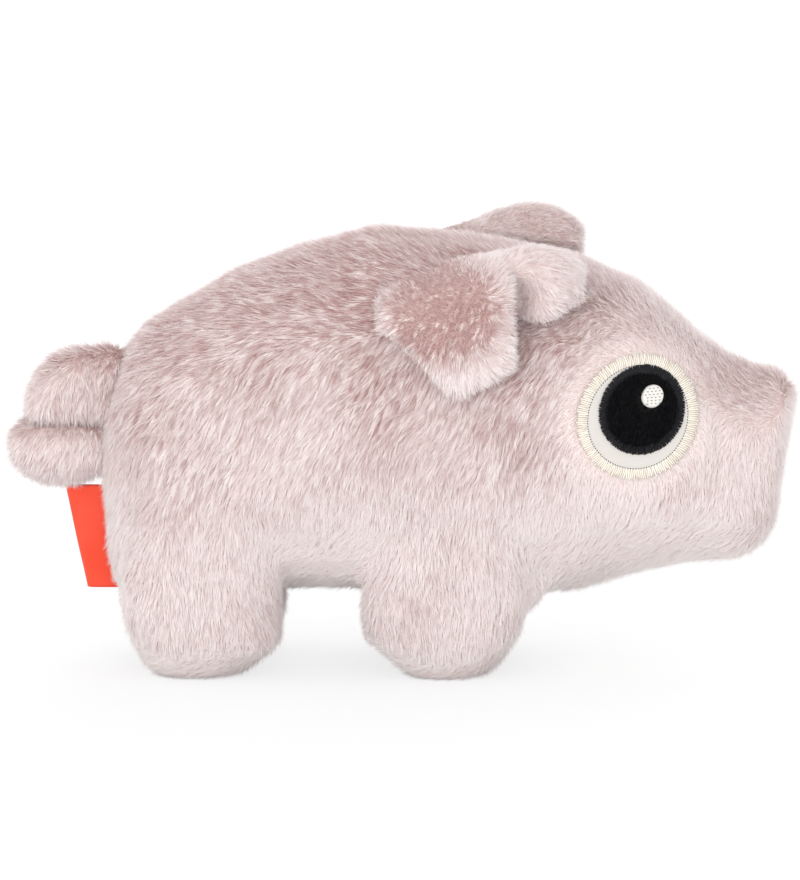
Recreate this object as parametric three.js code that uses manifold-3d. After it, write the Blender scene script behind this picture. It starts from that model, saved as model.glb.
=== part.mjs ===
// A small stuffed toy pig that stands on four short legs. Plush covers are sewn round soft filling.
// The ears are two layers of plush that flop over the head, the tail is a stuffed curl in two turns,
// the eyes are felt discs edged with satin stitch, and a folded ribbon label is caught in the rear seam.
// Millimetres. +X is towards the snout, +Y is the pig's left side, +Z is up, the soles are at Z = 0.

import * as THREE from "three";
import { mergeVertices } from "three/addons/utils/BufferGeometryUtils.js";
import Module from "manifold-3d";

const wasm = await Module();
wasm.setup();

// Cloth and fit
const plushThickness = 4; // backing and pile together
const clearance = 0.3; // between two pieces that touch
const overrun = 20; // how far a cutting solid runs past what it cuts

// Trunk: the torso and the head, which one pair of side panels covers
const trunkLength = 172.5; // rump to the snout's seam, along X
const backHeight = 112; // floor to the top of the back
const trunkWidth = 74;
const trunkFullness = 2.3; // 2 is an ellipse, more is squarer
const trunkRingPoints = 24;
const fillingRingPoints = 12;
const leastHalf = 1; // a ring that shrinks keeps this half size
const skinSteps = 6; // finer steps, where other pieces are set on the trunk's skin
const walkSteps = 60; // steps over a quarter of a ring of that skin

// Neck: the slanting plane that parts the head from the body
const neckBack = 69; // from the snout's seam back to the plane, at neckHeight
const neckHeight = 64;
const neckTilt = THREE.MathUtils.degToRad(25);

// Legs
const legHeight = 50; // sole to the top of the leg's own form, inside the trunk
const legWidth = 27;
const hipSpread = 41; // between the middles of a left and a right leg
const rearLegLength = 42; // along X
const rearLegReach = 24.5; // from the rump to the leg's middle
const frontLegLength = 42;
const frontLegReach = 87.5;
const legFullness = 2.6;
const legRingPoints = 16;
const legFillingRingPoints = 10;

// Snout: a domed disc sewn over the front of the head
const snoutBack = 6.5; // from the trunk's full length back to the middle of the disc's seam
const snoutTilt = THREE.MathUtils.degToRad(10.7); // the disc's face leans forward at its top
const snoutInset = 0.4; // the disc's edge lies this far inside the head's
const snoutDepth = 6.8;
const snoutFullness = 2.4;
const snoutRingPoints = 20;
const nostrilTall = 8.5;
const nostrilWide = 4.6;
const nostrilThickness = 0.8;
const nostrilSpread = 13;
const nostrilRise = 2; // above the disc's middle
const nostrilSegments = 12;

// Eyes: an off-white felt disc, a black pupil on it and a highlight on that, each edged or filled with thread
const eyeBack = 29.8; // from the snout's seam back to the eye's middle
const eyeHeight = 67.5;
const eyeRadius = 15.7;
const eyeRimWidth = 2.3;
const feltThickness = 0.6;
const threadThickness = 0.6; // how far satin stitch stands above the felt it edges
const feltUnderThread = 1.2; // how far a felt disc reaches under the stitches round it
const pupilRadius = 11.2;
const pupilRimWidth = 2.1;
const pupilForward = 1;
const pupilUp = 1.5;
const highlightRadius = 3;
const highlightForward = 3.8;
const highlightUp = 5.2;
const discSegments = 28;
const highlightSegments = 14;

// Ears
const earLength = 54; // along X
const earBack = 42.5; // from the snout's seam back to the ear's front end
const earArc = 54; // over the trunk's skin, from the middle of the top to the lowest hem
const earLift = 14; // the ear's greatest height over the trunk's skin
const earThickness = 4.4; // both layers
const earSeamBack = 47; // from the snout's seam back to the front end of the ear's own seam
const earSeamLength = 33;
const earSeamArc = 15; // from the middle of the top to the seam
const earSeamRadius = 2.3; // the turned-in edge that the ear swings on
const earSeamSegments = 10;
const earKnotSteps = 2; // steps between the seam, the ridge, the shoulder and the hem

// Tail
const tailHeight = 61; // floor to the crease between the two turns
const tailBaseLength = 24;
const tailBaseTall = 20;
const tailBaseWidth = 18.6;
const tailBaseFullness = 2.3;
const tailTipLength = 23.5;
const tailTipTall = 16.8;
const tailTipWidth = 18.4;
const tailTipFullness = 2.3;
const tailTipStart = 2.8; // behind the rump, where the lower turn begins
const tailSeamHeight = 63; // floor to the lower end of the tail's seam
const tailSeamRise = 15.6;
const tailSeamRadius = 1.9;
const tailSeamDepth = 0.9; // how deep in the rump the middle of the sewn root lies
const tailRingPoints = 14;
const tailFillingRingPoints = 8;
const tailThickness = 2.6; // the thinner plush of the tail
const tailPassageRadius = 3; // where the filling runs on from the upper turn into the lower
const tailSwing = THREE.MathUtils.degToRad(25); // to each side
const tailSwingSteps = 2; // places at which the room for the swing is cut, to each side

// Label: a ribbon folded in two and caught in the rear seam
const labelTall = 27;
const labelDeep = 12.5; // from the fold to the cut edges
const labelProud = 9.8; // how far the fold stands behind the rump
const ribbonThickness = 0.35;
const ribbonParting = 0.4; // between the two leaves
const labelDrop = 1.2; // from the tail's lower turn down to the ribbon's top
const labelTilt = THREE.MathUtils.degToRad(12);
const labelRootDepth = 0.9; // how deep in the rump the ribbon is stitched
const labelRootFall = 20; // the stitched length, down from the ribbon's top
const labelBeadRadius = 0.8; // the stitched root that the ribbon swings on
const labelSwing = THREE.MathUtils.degToRad(45);
const labelSwingSteps = 3;
const foldSegments = 8;

// Each row is one ring of the trunk: its place along trunkLength, then its top and its bottom as
// shares of backHeight, and its half width as a share of half of trunkWidth.
const trunkShares = [
  [0, 0.471, 0.326, 0.108],
  [0.005, 0.543, 0.253, 0.297],
  [0.017, 0.638, 0.199, 0.473],
  [0.035, 0.724, 0.167, 0.608],
  [0.067, 0.78, 0.158, 0.73],
  [0.119, 0.834, 0.163, 0.838],
  [0.194, 0.903, 0.172, 0.932],
  [0.293, 0.967, 0.176, 0.989],
  [0.403, 1, 0.176, 1],
  [0.507, 0.985, 0.172, 0.973],
  [0.612, 0.967, 0.166, 0.919],
  [0.704, 0.944, 0.168, 0.851],
  [0.786, 0.874, 0.201, 0.77],
  [0.855, 0.796, 0.226, 0.676],
  [0.925, 0.713, 0.238, 0.581],
  [0.971, 0.684, 0.244, 0.535],
  [1, 0.681, 0.249, 0.522],
];

// Each row is one ring of a leg: its height as a share of legHeight, its back and its front as shares
// of the leg's length from its middle, and its half width as a share of half of legWidth.
const rearLegShares = [
  [0, -0.214, 0.167, 0.52],
  [0.02, -0.286, 0.31, 0.7],
  [0.06, -0.333, 0.393, 0.85],
  [0.12, -0.369, 0.452, 0.95],
  [0.2, -0.405, 0.476, 0.985],
  [0.32, -0.452, 0.486, 1],
  [0.44, -0.483, 0.5, 0.99],
  [0.6, -0.49, 0.512, 0.96],
  [0.8, -0.452, 0.5, 0.89],
  [1, -0.357, 0.405, 0.67],
];
const frontLegShares = [
  [0, -0.214, 0.19, 0.52],
  [0.02, -0.31, 0.269, 0.7],
  [0.06, -0.393, 0.329, 0.85],
  [0.12, -0.464, 0.376, 0.95],
  [0.2, -0.5, 0.417, 0.985],
  [0.32, -0.514, 0.464, 1],
  [0.44, -0.514, 0.512, 0.99],
  [0.6, -0.488, 0.524, 0.96],
  [0.8, -0.429, 0.452, 0.89],
  [1, -0.286, 0.31, 0.67],
];

// Each row is one line across the ear, from its seam to its hem: its place along earLength, then the
// arc and the lift at the seam, at the ridge and at the hem, as shares of earArc and earLift, with the
// lift at the shoulder, halfway from ridge to hem, before the hem's.
const earShares = [
  [0, 0.54, 0.25, 0.565, 0.26, 0.27, 0.59, 0.25],
  [0.055, 0.5, 0.28, 0.54, 0.4, 0.4, 0.66, 0.26],
  [0.15, 0.44, 0.32, 0.5, 0.56, 0.54, 0.76, 0.27],
  [0.24, 0.35, 0.3, 0.465, 0.68, 0.6, 0.87, 0.29],
  [0.35, 0.28, 0.08, 0.445, 0.78, 0.64, 1, 0.31],
  [0.48, 0.278, 0.05, 0.425, 0.88, 0.67, 0.99, 0.35],
  [0.58, 0.278, 0.05, 0.41, 0.95, 0.7, 0.925, 0.46],
  [0.65, 0.278, 0.05, 0.4, 1, 0.72, 0.815, 0.56],
  [0.71, 0.278, 0.05, 0.4, 1, 0.58, 0.68, 0.28],
  [0.8, 0.278, 0.05, 0.39, 0.95, 0.58, 0.657, 0.27],
  [0.88, 0.278, 0.05, 0.38, 0.84, 0.53, 0.593, 0.27],
  [0.955, 0.287, 0.07, 0.37, 0.58, 0.42, 0.5, 0.26],
  [1, 0.315, 0.2, 0.36, 0.3, 0.29, 0.41, 0.23],
];
// How the ear's thickness fades in the last steps before each of its edges.
const earEdgeShares = [0.42, 0.82, 1];

// Each row is one ring of a turn of the tail, going back from its root: its place along the turn's
// length, its top and its bottom as shares of the turn's height over its lowest point, and its half
// width as a share of half of the turn's width.
const tailBaseShares = [
  [0, 0.86, 0.16, 0.12],
  [0.08, 0.92, 0.1, 0.34],
  [0.19, 0.97, 0.03, 0.68],
  [0.33, 1, -0.04, 0.92],
  [0.52, 0.97, -0.06, 1],
  [0.72, 0.86, -0.06, 0.96],
  [0.88, 0.66, -0.04, 0.8],
  [0.97, 0.44, 0.02, 0.52],
  [1, 0.32, 0.1, 0.26],
];
const tailTipShares = [
  [0, 0.76, 0.3, 0.18],
  [0.06, 0.95, 0.13, 0.52],
  [0.2, 1.08, 0.02, 0.88],
  [0.42, 1.08, 0, 1],
  [0.64, 1.06, 0.04, 0.97],
  [0.82, 0.98, 0.17, 0.82],
  [0.94, 0.84, 0.36, 0.55],
  [1, 0.7, 0.5, 0.2],
];

// Each row is one ring of the snout disc: its place along snoutDepth, and its size as a share.
const snoutShares = [
  [0, 1],
  [0.35, 0.985],
  [0.65, 0.92],
  [0.87, 0.81],
  [1, 0.66],
];

const plush = new THREE.MeshStandardMaterial({ color: 0xdfccc9, roughness: 0.95, metalness: 0 });
const filling = new THREE.MeshStandardMaterial({ color: 0xf4f2ee, roughness: 1, metalness: 0 });
const whiteFelt = new THREE.MeshStandardMaterial({ color: 0xebe8e4, roughness: 0.9, metalness: 0 });
const creamThread = new THREE.MeshStandardMaterial({ color: 0xf0e8da, roughness: 0.5, metalness: 0 });
const blackFelt = new THREE.MeshStandardMaterial({ color: 0x17161a, roughness: 0.85, metalness: 0 });
const blackThread = new THREE.MeshStandardMaterial({ color: 0x26252a, roughness: 0.5, metalness: 0 });
const pinkThread = new THREE.MeshStandardMaterial({ color: 0xc99d98, roughness: 0.5, metalness: 0 });
const ribbon = new THREE.MeshStandardMaterial({ color: 0xf4593c, roughness: 0.6, metalness: 0 });

// A closed geometry as a solid that can be joined and cut.
function solidOf(geometry) {
  const bare = geometry.clone();
  bare.deleteAttribute("normal");
  bare.deleteAttribute("uv");
  const merged = mergeVertices(bare);
  return new wasm.Manifold(
    new wasm.Mesh({
      numProp: 3,
      vertProperties: merged.attributes.position.array,
      triVerts: new Uint32Array(merged.index.array),
    }),
  );
}

// A solid as a named mesh. What is made on the left side is mirrored to the right with side = -1.
function meshOf(name, solid, material, side = 1) {
  const made = solid.getMesh();
  const geometry = new THREE.BufferGeometry();
  geometry.setAttribute("position", new THREE.BufferAttribute(made.vertProperties, 3));
  geometry.setIndex(new THREE.BufferAttribute(side > 0 ? made.triVerts : made.triVerts.reverse(), 1));
  const mesh = new THREE.Mesh(geometry.scale(1, side, 1), material);
  mesh.name = name;
  return mesh;
}

// A closed geometry through rings of points, with a fan over each end. Seen from its last ring,
// each ring runs anticlockwise.
function loftOf(rings) {
  const around = rings[0].length;
  const positions = [];
  for (const ring of rings) {
    for (const point of ring) positions.push(point.x, point.y, point.z);
  }
  const fans = [rings[0], rings.at(-1)].map((ring) => {
    const middle = new THREE.Vector3();
    for (const point of ring) middle.addScaledVector(point, 1 / around);
    positions.push(middle.x, middle.y, middle.z);
    return positions.length / 3 - 1;
  });
  const faces = [];
  for (let r = 0; r + 1 < rings.length; r += 1) {
    for (let k = 0; k < around; k += 1) {
      const a = r * around + k;
      const b = r * around + ((k + 1) % around);
      faces.push(a, b, b + around, a, b + around, a + around);
    }
  }
  const last = (rings.length - 1) * around;
  for (let k = 0; k < around; k += 1) {
    const next = (k + 1) % around;
    faces.push(fans[0], next, k, fans[1], last + k, last + next);
  }
  const geometry = new THREE.BufferGeometry();
  geometry.setAttribute("position", new THREE.BufferAttribute(new Float32Array(positions), 3));
  geometry.setIndex(faces);
  return geometry;
}

// Rows of numbers with more rows between them, on a smooth curve through each column.
function smoothRows(rows, steps) {
  const made = [];
  for (let r = 0; r + 1 < rows.length; r += 1) {
    const [before, from, to, after] = [r - 1, r, r + 1, r + 2].map(
      (k) => rows[THREE.MathUtils.clamp(k, 0, rows.length - 1)],
    );
    for (let s = 0; s < steps; s += 1) {
      const t = s / steps;
      made.push(
        from.map((value, c) => {
          const slopeIn = (to[c] - before[c]) / 2;
          const slopeOut = (after[c] - value) / 2;
          const rise = to[c] - value;
          const cubic = slopeIn + slopeOut - 2 * rise;
          const square = 3 * rise - 2 * slopeIn - slopeOut;
          return value + t * (slopeIn + t * (square + t * cubic));
        }),
      );
    }
  }
  made.push(rows.at(-1));
  return made;
}

// Angles spread evenly from one limit to the other.
function sweep(limit, steps) {
  return Array.from({ length: 2 * steps + 1 }, (_, k) => (limit * (k - steps)) / steps);
}

// A superellipse as a ring of points, each made from its two coordinates off the middle.
function ovalRing(ringPoints, halfAcross, halfUp, fullness, place) {
  const bend = (value) => Math.sign(value) * Math.abs(value) ** (2 / fullness);
  return Array.from({ length: ringPoints }, (_, k) => {
    const angle = (2 * Math.PI * k) / ringPoints;
    return place(halfAcross * bend(Math.cos(angle)), halfUp * bend(Math.sin(angle)));
  });
}

// A box as a solid, from its size, its middle and a turn about Y.
function boxSolid(size, middle, turn = 0) {
  return solidOf(new THREE.BoxGeometry(...size).rotateY(turn).translate(...middle));
}

// A round bar as a solid.
function barSolid(from, to, radius, segments) {
  const reach = new THREE.Vector3().subVectors(to, from);
  const bar = new THREE.CylinderGeometry(radius, radius, reach.length(), segments);
  const upright = new THREE.Vector3(0, 1, 0);
  bar.applyQuaternion(new THREE.Quaternion().setFromUnitVectors(upright, reach.normalize()));
  const middle = new THREE.Vector3().addVectors(from, to).multiplyScalar(1 / 2);
  return solidOf(bar.translate(middle.x, middle.y, middle.z));
}

// The room that a round bar needs, with the clearance round it and past both its ends.
function roomForBar({ from, to }, radius, segments) {
  const past = new THREE.Vector3().subVectors(to, from).setLength(clearance);
  const start = new THREE.Vector3().subVectors(from, past);
  return barSolid(start, new THREE.Vector3().addVectors(to, past), radius + clearance, segments);
}

// A turn by an angle about the line between two points.
function turnAbout({ from, to }, angle) {
  const axis = new THREE.Vector3().subVectors(to, from).normalize();
  return new THREE.Matrix4()
    .makeTranslation(from.x, from.y, from.z)
    .multiply(new THREE.Matrix4().makeRotationAxis(axis, angle))
    .multiply(new THREE.Matrix4().makeTranslation(-from.x, -from.y, -from.z));
}

const largest = trunkLength + backHeight + trunkWidth + overrun;

// What lies ahead of a plane that leans back by a tilt, or behind it with side = -1.
function halfSpace(reach, height, tilt, side, gap) {
  const ahead = (side * (largest + gap)) / 2;
  const middle = [reach + ahead * Math.cos(tilt), 0, height + ahead * Math.sin(tilt)];
  return boxSolid([largest, 2 * largest, 2 * largest], middle, -tilt);
}

// The trunk's rings, each grown by a distance: its place, middle height, half height and half width.
function trunkRows(grow, steps) {
  return smoothRows(trunkShares, steps).map(([along, top, bottom, half]) => ({
    x: along * trunkLength + grow * (2 * along - 1),
    middle: ((top + bottom) / 2) * backHeight,
    up: Math.max(((top - bottom) / 2) * backHeight + grow, leastHalf),
    across: Math.max((half * trunkWidth) / 2 + grow, leastHalf),
  }));
}

function trunkShape(grow, ringPoints = trunkRingPoints) {
  return loftOf(
    trunkRows(grow, 1).map(({ x, middle, up, across }) =>
      ovalRing(ringPoints, across, up, trunkFullness, (y, z) => new THREE.Vector3(x, y, middle + z)),
    ),
  );
}

// The trunk's ring at a place along X.
const skinRows = trunkRows(0, skinSteps);

function ringAt(x) {
  const after = Math.max(skinRows.findIndex((row) => row.x >= x), 1);
  const [from, to] = [skinRows[after - 1], skinRows[after]];
  const t = (x - from.x) / (to.x - from.x);
  const mix = (key) => THREE.MathUtils.lerp(from[key], to[key], t);
  return { middle: mix("middle"), up: mix("up"), across: mix("across") };
}

// The point over the skin at an arc from the middle of its top and a lift off it, on the left side.
function overSkin(x, arc, lift) {
  const { middle, up, across } = ringAt(x);
  const place = (y, z) => new THREE.Vector3(x, y, middle + z);
  const ring = ovalRing(4 * walkSteps, across, up, trunkFullness, place);
  const walk = ring.slice(0, walkSteps + 1).reverse();
  walk.push(...ring.slice(-walkSteps).reverse());
  let [k, left] = [0, arc];
  while (k + 2 < walk.length && left > walk[k].distanceTo(walk[k + 1])) {
    left -= walk[k].distanceTo(walk[k + 1]);
    k += 1;
  }
  const along = new THREE.Vector3().subVectors(walk[k + 1], walk[k]).normalize();
  const outward = new THREE.Vector3(0, -along.z, along.y);
  return walk[k].clone().addScaledVector(along, left).addScaledVector(outward, lift);
}

// A line on the rump in the middle plane, sunk by a depth, between two heights.
function rumpLine(heightFrom, heightTo, depth) {
  const rumpAt = (z) => {
    const past = (row) => Math.abs(z - row.middle) - row.up;
    const after = Math.max(skinRows.findIndex((row) => past(row) <= 0), 1);
    const [from, to] = [skinRows[after - 1], skinRows[after]];
    const t = THREE.MathUtils.clamp(past(from) / (past(from) - past(to)), 0, 1);
    return new THREE.Vector3(THREE.MathUtils.lerp(from.x, to.x, t) + depth, 0, z);
  };
  return { from: rumpAt(heightFrom), to: rumpAt(heightTo) };
}

const sides = [
  { name: "left", side: 1 },
  { name: "right", side: -1 },
];

const snoutReach = trunkLength - snoutBack;
const snoutRing = ringAt(snoutReach);
const trunkClear = solidOf(trunkShape(clearance));
const trunkHollow = solidOf(trunkShape(-plushThickness, fillingRingPoints));
const headSpace = halfSpace(snoutReach - neckBack, neckHeight, neckTilt, 1, clearance);
const bodySpace = halfSpace(snoutReach - neckBack, neckHeight, neckTilt, -1, clearance);
const behindSnout = halfSpace(snoutReach, snoutRing.middle, -snoutTilt, -1, clearance);

// Legs

// A leg on the left side, grown by a distance on its sides and its sole.
function legSolid(leg, grow, ringPoints) {
  const rings = leg.shares.map(([up, back, front, half]) => {
    const middle = leg.reach + ((back + front) / 2) * leg.length;
    const long = Math.max(((front - back) / 2) * leg.length + grow, leastHalf);
    const wide = Math.max((half * legWidth) / 2 + grow, leastHalf);
    const z = up * legHeight - grow * (1 - up);
    const place = (x, y) => new THREE.Vector3(middle + x, hipSpread / 2 + y, z);
    return ovalRing(ringPoints, long, wide, legFullness, place);
  });
  return solidOf(loftOf(rings));
}

const legs = [
  { name: "rear", reach: rearLegReach, length: rearLegLength, shares: rearLegShares },
  { name: "front", reach: frontLegReach, length: frontLegLength, shares: frontLegShares },
];
const legHollows = legs.map((leg) => legSolid(leg, -plushThickness, legFillingRingPoints));

function addLegs(group) {
  for (const [n, leg] of legs.entries()) {
    const cover = legSolid(leg, 0, legRingPoints).subtract(legHollows[n]).subtract(trunkClear);
    const pad = legSolid(leg, -plushThickness - clearance, legFillingRingPoints).subtract(trunkHollow);
    for (const { name, side } of sides) {
      group.add(meshOf(`leg_${leg.name}_${name}_cover`, cover, plush, side));
      group.add(meshOf(`leg_${leg.name}_${name}_filling`, pad, filling, side));
    }
  }
}

// Ears

const earSeamReach = snoutReach - earSeamBack;
const earSeam = {
  from: overSkin(earSeamReach - earSeamLength, earSeamArc, 0),
  to: overSkin(earSeamReach, earSeamArc, 0),
};

// The lines across the left ear, each from its seam to its hem on the middle of its two layers.
function earLines() {
  const rear = snoutReach - earBack - earLength;
  return earShares.map(([along, seamArc, seamLift, ridgeArc, ridgeLift, shoulderLift, hemArc, hemLift]) => {
    const knots = [
      [seamArc, seamLift],
      [ridgeArc, ridgeLift],
      [(ridgeArc + hemArc) / 2, shoulderLift],
      [hemArc, hemLift],
    ];
    return smoothRows(knots, earKnotSteps).map(([arc, lift]) =>
      overSkin(rear + along * earLength, arc * earArc, lift * earLift),
    );
  });
}

// A bent sheet as a solid, between two distances off its lines. It thins towards its edges.
function sheetSolid(lines, near, far) {
  const [rows, across] = [lines.length, lines[0].length];
  const at = (r, c) =>
    lines[THREE.MathUtils.clamp(r, 0, rows - 1)][THREE.MathUtils.clamp(c, 0, across - 1)];
  const rings = lines.map((line, r) => {
    const face = (c, full) => {
      const along = new THREE.Vector3().subVectors(at(r + 1, c), at(r - 1, c));
      const down = new THREE.Vector3().subVectors(at(r, c + 1), at(r, c - 1));
      const steps = Math.min(r, c, rows - 1 - r, across - 1 - c);
      const share = full ? earEdgeShares[Math.min(steps, earEdgeShares.length - 1)] : 0;
      return line[c].clone().addScaledVector(down.cross(along).normalize(), near + (far - near) * share);
    };
    const out = line.map((_, c) => face(c, true));
    const back = line.map((_, c) => face(c, false)).reverse();
    return far > near ? [...out, ...back] : [...out, ...back].reverse();
  });
  return solidOf(loftOf(rings));
}

function addEars(group) {
  const lines = earLines();
  const bead = barSolid(earSeam.from, earSeam.to, earSeamRadius, earSeamSegments);
  const outer = sheetSolid(lines, clearance / 2, earThickness / 2).subtract(trunkClear).add(bead);
  const inner = sheetSolid(lines, -clearance / 2, -earThickness / 2)
    .subtract(sheetSolid(lines, -clearance / 2, earThickness / 2 + clearance))
    .subtract(trunkClear)
    .subtract(roomForBar(earSeam, earSeamRadius, earSeamSegments));
  for (const { name, side } of sides) {
    group.add(meshOf(`ear_${name}_outer`, outer, plush, side));
    group.add(meshOf(`ear_${name}_inner`, inner, plush, side));
  }
}

// Tail

const tailSeam = rumpLine(tailSeamHeight, tailSeamHeight + tailSeamRise, tailSeamDepth);
const tailAxisReach = -tailTipStart - tailTipLength / 2;
const tailTurns = [
  {
    name: "base",
    start: tailSeam.from.x,
    length: tailBaseLength,
    low: tailHeight,
    tall: tailBaseTall,
    width: tailBaseWidth,
    fullness: tailBaseFullness,
    shares: tailBaseShares,
    side: 1,
  },
  {
    name: "tip",
    start: -tailTipStart,
    length: tailTipLength,
    low: tailHeight - tailTipTall,
    tall: tailTipTall,
    width: tailTipWidth,
    fullness: tailTipFullness,
    shares: tailTipShares,
    side: -1,
  },
];

// A turn of the tail, grown by a distance, with the way through the crease between the two turns,
// where the filling of one runs on into the other.
function turnSolid(turn, grow, ringPoints, passageRadius) {
  const rings = turn.shares.map(([along, top, bottom, half]) => {
    const x = turn.start - along * turn.length - grow * (2 * along - 1);
    const middle = turn.low + ((top + bottom) / 2) * turn.tall;
    const up = Math.max(((top - bottom) / 2) * turn.tall + grow, leastHalf);
    const across = Math.max((half * turn.width) / 2 + grow, leastHalf);
    const place = (y, z) => new THREE.Vector3(x, y, middle + z);
    return ovalRing(ringPoints, across, up, turn.fullness, place);
  });
  const body = solidOf(loftOf(rings.reverse()));
  if (passageRadius === 0) return body;
  const from = new THREE.Vector3(tailAxisReach, 0, tailHeight - turn.side * passageRadius);
  const to = new THREE.Vector3(tailAxisReach, 0, tailHeight + (turn.side * turn.tall) / 2);
  return body.add(barSolid(from, to, passageRadius, ringPoints));
}

function addTail(group) {
  const bead = barSolid(tailSeam.from, tailSeam.to, tailSeamRadius, tailRingPoints);
  for (const turn of tailTurns) {
    const middle = tailHeight + (turn.side * (largest + clearance)) / 2;
    const space = boxSolid([2 * largest, 2 * largest, largest], [0, 0, middle]);
    const hollow = turnSolid(turn, -tailThickness, tailFillingRingPoints, tailPassageRadius);
    const padRadius = tailPassageRadius - clearance;
    const pad = turnSolid(turn, -tailThickness - clearance, tailFillingRingPoints, padRadius);
    let cover = turnSolid(turn, 0, tailRingPoints, 0).subtract(hollow).intersect(space);
    if (turn.name === "base") {
      for (const angle of sweep(tailSwing, tailSwingSteps)) {
        const swung = trunkShape(clearance).applyMatrix4(turnAbout(tailSeam, angle));
        cover = cover.subtract(solidOf(swung));
      }
      cover = cover.add(bead.intersect(space));
    }
    group.add(meshOf(`tail_${turn.name}_cover`, cover, plush));
    group.add(meshOf(`tail_${turn.name}_filling`, pad.intersect(space), filling));
  }
}

// Label

const labelTopHeight = tailHeight - tailTipTall - labelDrop;
const labelRoot = rumpLine(labelTopHeight, labelTopHeight - labelRootFall, labelRootDepth);
const labelHalf = ribbonThickness + ribbonParting / 2;

// The folded ribbon seen from above, its fold at -X and its cut edges at X = 0, raised to its height.
function foldedRibbon() {
  const fold = labelHalf - labelDeep;
  const outline = new THREE.Shape();
  outline.moveTo(0, labelHalf);
  outline.lineTo(fold, labelHalf);
  outline.absarc(fold, 0, labelHalf, Math.PI / 2, (3 * Math.PI) / 2);
  outline.lineTo(0, -labelHalf);
  outline.lineTo(0, -ribbonParting / 2);
  outline.lineTo(fold, -ribbonParting / 2);
  outline.absarc(fold, 0, ribbonParting / 2, (3 * Math.PI) / 2, Math.PI / 2, true);
  outline.lineTo(0, ribbonParting / 2);
  outline.closePath();
  const curveSegments = foldSegments;
  return new THREE.ExtrudeGeometry(outline, { depth: labelTall, bevelEnabled: false, curveSegments });
}

// The slope of the label's root from the upright.
function labelRootTilt() {
  return Math.atan2(labelRoot.to.x - labelRoot.from.x, labelRoot.from.z - labelRoot.to.z);
}

// The room that the ribbon sweeps along the line of its root.
function labelGroove() {
  const middle = new THREE.Vector3().subVectors(labelRoot.to, labelRoot.from).setLength(labelTall / 2);
  middle.add(labelRoot.from);
  const long = labelTall + 2 * clearance;
  let groove = roomForBar(labelRoot, labelBeadRadius, foldSegments);
  for (const angle of sweep(labelSwing, labelSwingSteps)) {
    const leaf = new THREE.BoxGeometry(plushThickness, 2 * (labelHalf + clearance), long);
    leaf.translate(-plushThickness / 2, 0, 0).rotateY(-labelRootTilt());
    leaf.translate(middle.x, 0, middle.z).applyMatrix4(turnAbout(labelRoot, angle));
    groove = groove.add(solidOf(leaf));
  }
  return groove;
}

function addLabel(group) {
  const fold = foldedRibbon();
  fold.translate(labelDeep - labelProud, 0, -labelTall).rotateY(-labelTilt);
  fold.translate(0, 0, labelTopHeight);
  const behindRoot = halfSpace(labelRoot.from.x, labelRoot.from.z, labelRootTilt(), -1, 0);
  const bead = barSolid(labelRoot.from, labelRoot.to, labelBeadRadius, foldSegments);
  group.add(meshOf("label_ribbon", solidOf(fold).intersect(behindRoot).add(bead), ribbon));
}

// Trunk

function addTrunk(group) {
  let covers = solidOf(trunkShape(0)).subtract(trunkHollow);
  covers = covers.subtract(roomForBar(tailSeam, tailSeamRadius, tailRingPoints));
  covers = covers.subtract(roomForBar(earSeam, earSeamRadius, earSeamSegments));
  covers = covers.subtract(labelGroove());
  for (const hollow of legHollows) covers = covers.subtract(hollow);
  const leftHalf = boxSolid([2 * largest, largest, 2 * largest], [0, (largest + clearance) / 2, 0]);
  covers = covers.intersect(leftHalf);
  const head = covers.intersect(headSpace).intersect(behindSnout);
  for (const { name, side } of sides) {
    group.add(meshOf(`body_cover_${name}`, covers.intersect(bodySpace), plush, side));
    group.add(meshOf(`head_cover_${name}`, head, plush, side));
  }
  const pad = solidOf(trunkShape(-plushThickness - clearance, fillingRingPoints));
  group.add(meshOf("body_filling", pad.intersect(bodySpace), filling));
  group.add(meshOf("head_filling", pad.intersect(headSpace).intersect(behindSnout), filling));
}

// Snout

// A shape made on the Z axis, its back at Z = 0, on the snout's seam as a solid.
function onSnout(shape) {
  shape.rotateY(Math.PI / 2 + snoutTilt).translate(snoutReach, 0, snoutRing.middle);
  return solidOf(shape);
}

function addSnout(group) {
  const rings = snoutShares.map(([along, size]) => {
    const [tall, wide] = [snoutRing.up - snoutInset, snoutRing.across - snoutInset];
    const place = (x, y) => new THREE.Vector3(x, y, clearance / 2 + along * snoutDepth);
    return ovalRing(snoutRingPoints, size * tall, size * wide, snoutFullness, place);
  });
  group.add(meshOf("snout_disc", onSnout(loftOf(rings)), plush));
  const oval = new THREE.CylinderGeometry(1, 1, nostrilThickness, nostrilSegments);
  oval.rotateX(Math.PI / 2).scale(nostrilTall / 2, nostrilWide / 2, 1);
  const proud = clearance / 2 + snoutDepth + clearance + nostrilThickness / 2;
  oval.translate(-nostrilRise, nostrilSpread / 2, proud);
  const nostril = onSnout(oval);
  for (const { name, side } of sides) group.add(meshOf(`nostril_${name}`, nostril, pinkThread, side));
}

// Eyes

// A round post that stands through the left eye, or part of it.
function eyePost(forward, up, radius, segments) {
  const [x, z] = [snoutReach - eyeBack + forward, eyeHeight + up];
  return barSolid(new THREE.Vector3(x, 0, z), new THREE.Vector3(x, trunkWidth, z), radius, segments);
}

// What a solid holds between two heights over the trunk's skin.
function layerOf(solid, low, high) {
  return solid.intersect(solidOf(trunkShape(high))).subtract(solidOf(trunkShape(low)));
}

// A felt disc over the skin, and the ring of thread that laps over its edge.
function discAndRing(post, radius, ringWidth, under, low) {
  const feltHigh = low + feltThickness;
  const feltRadius = radius - ringWidth + under;
  const disc = layerOf(post(feltRadius), low, feltHigh);
  const lapLow = feltHigh + clearance;
  const ring = layerOf(post(radius).subtract(post(radius - ringWidth)), low, lapLow + threadThickness);
  return [disc, ring.subtract(layerOf(post(feltRadius + clearance), 0, lapLow))];
}

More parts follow.
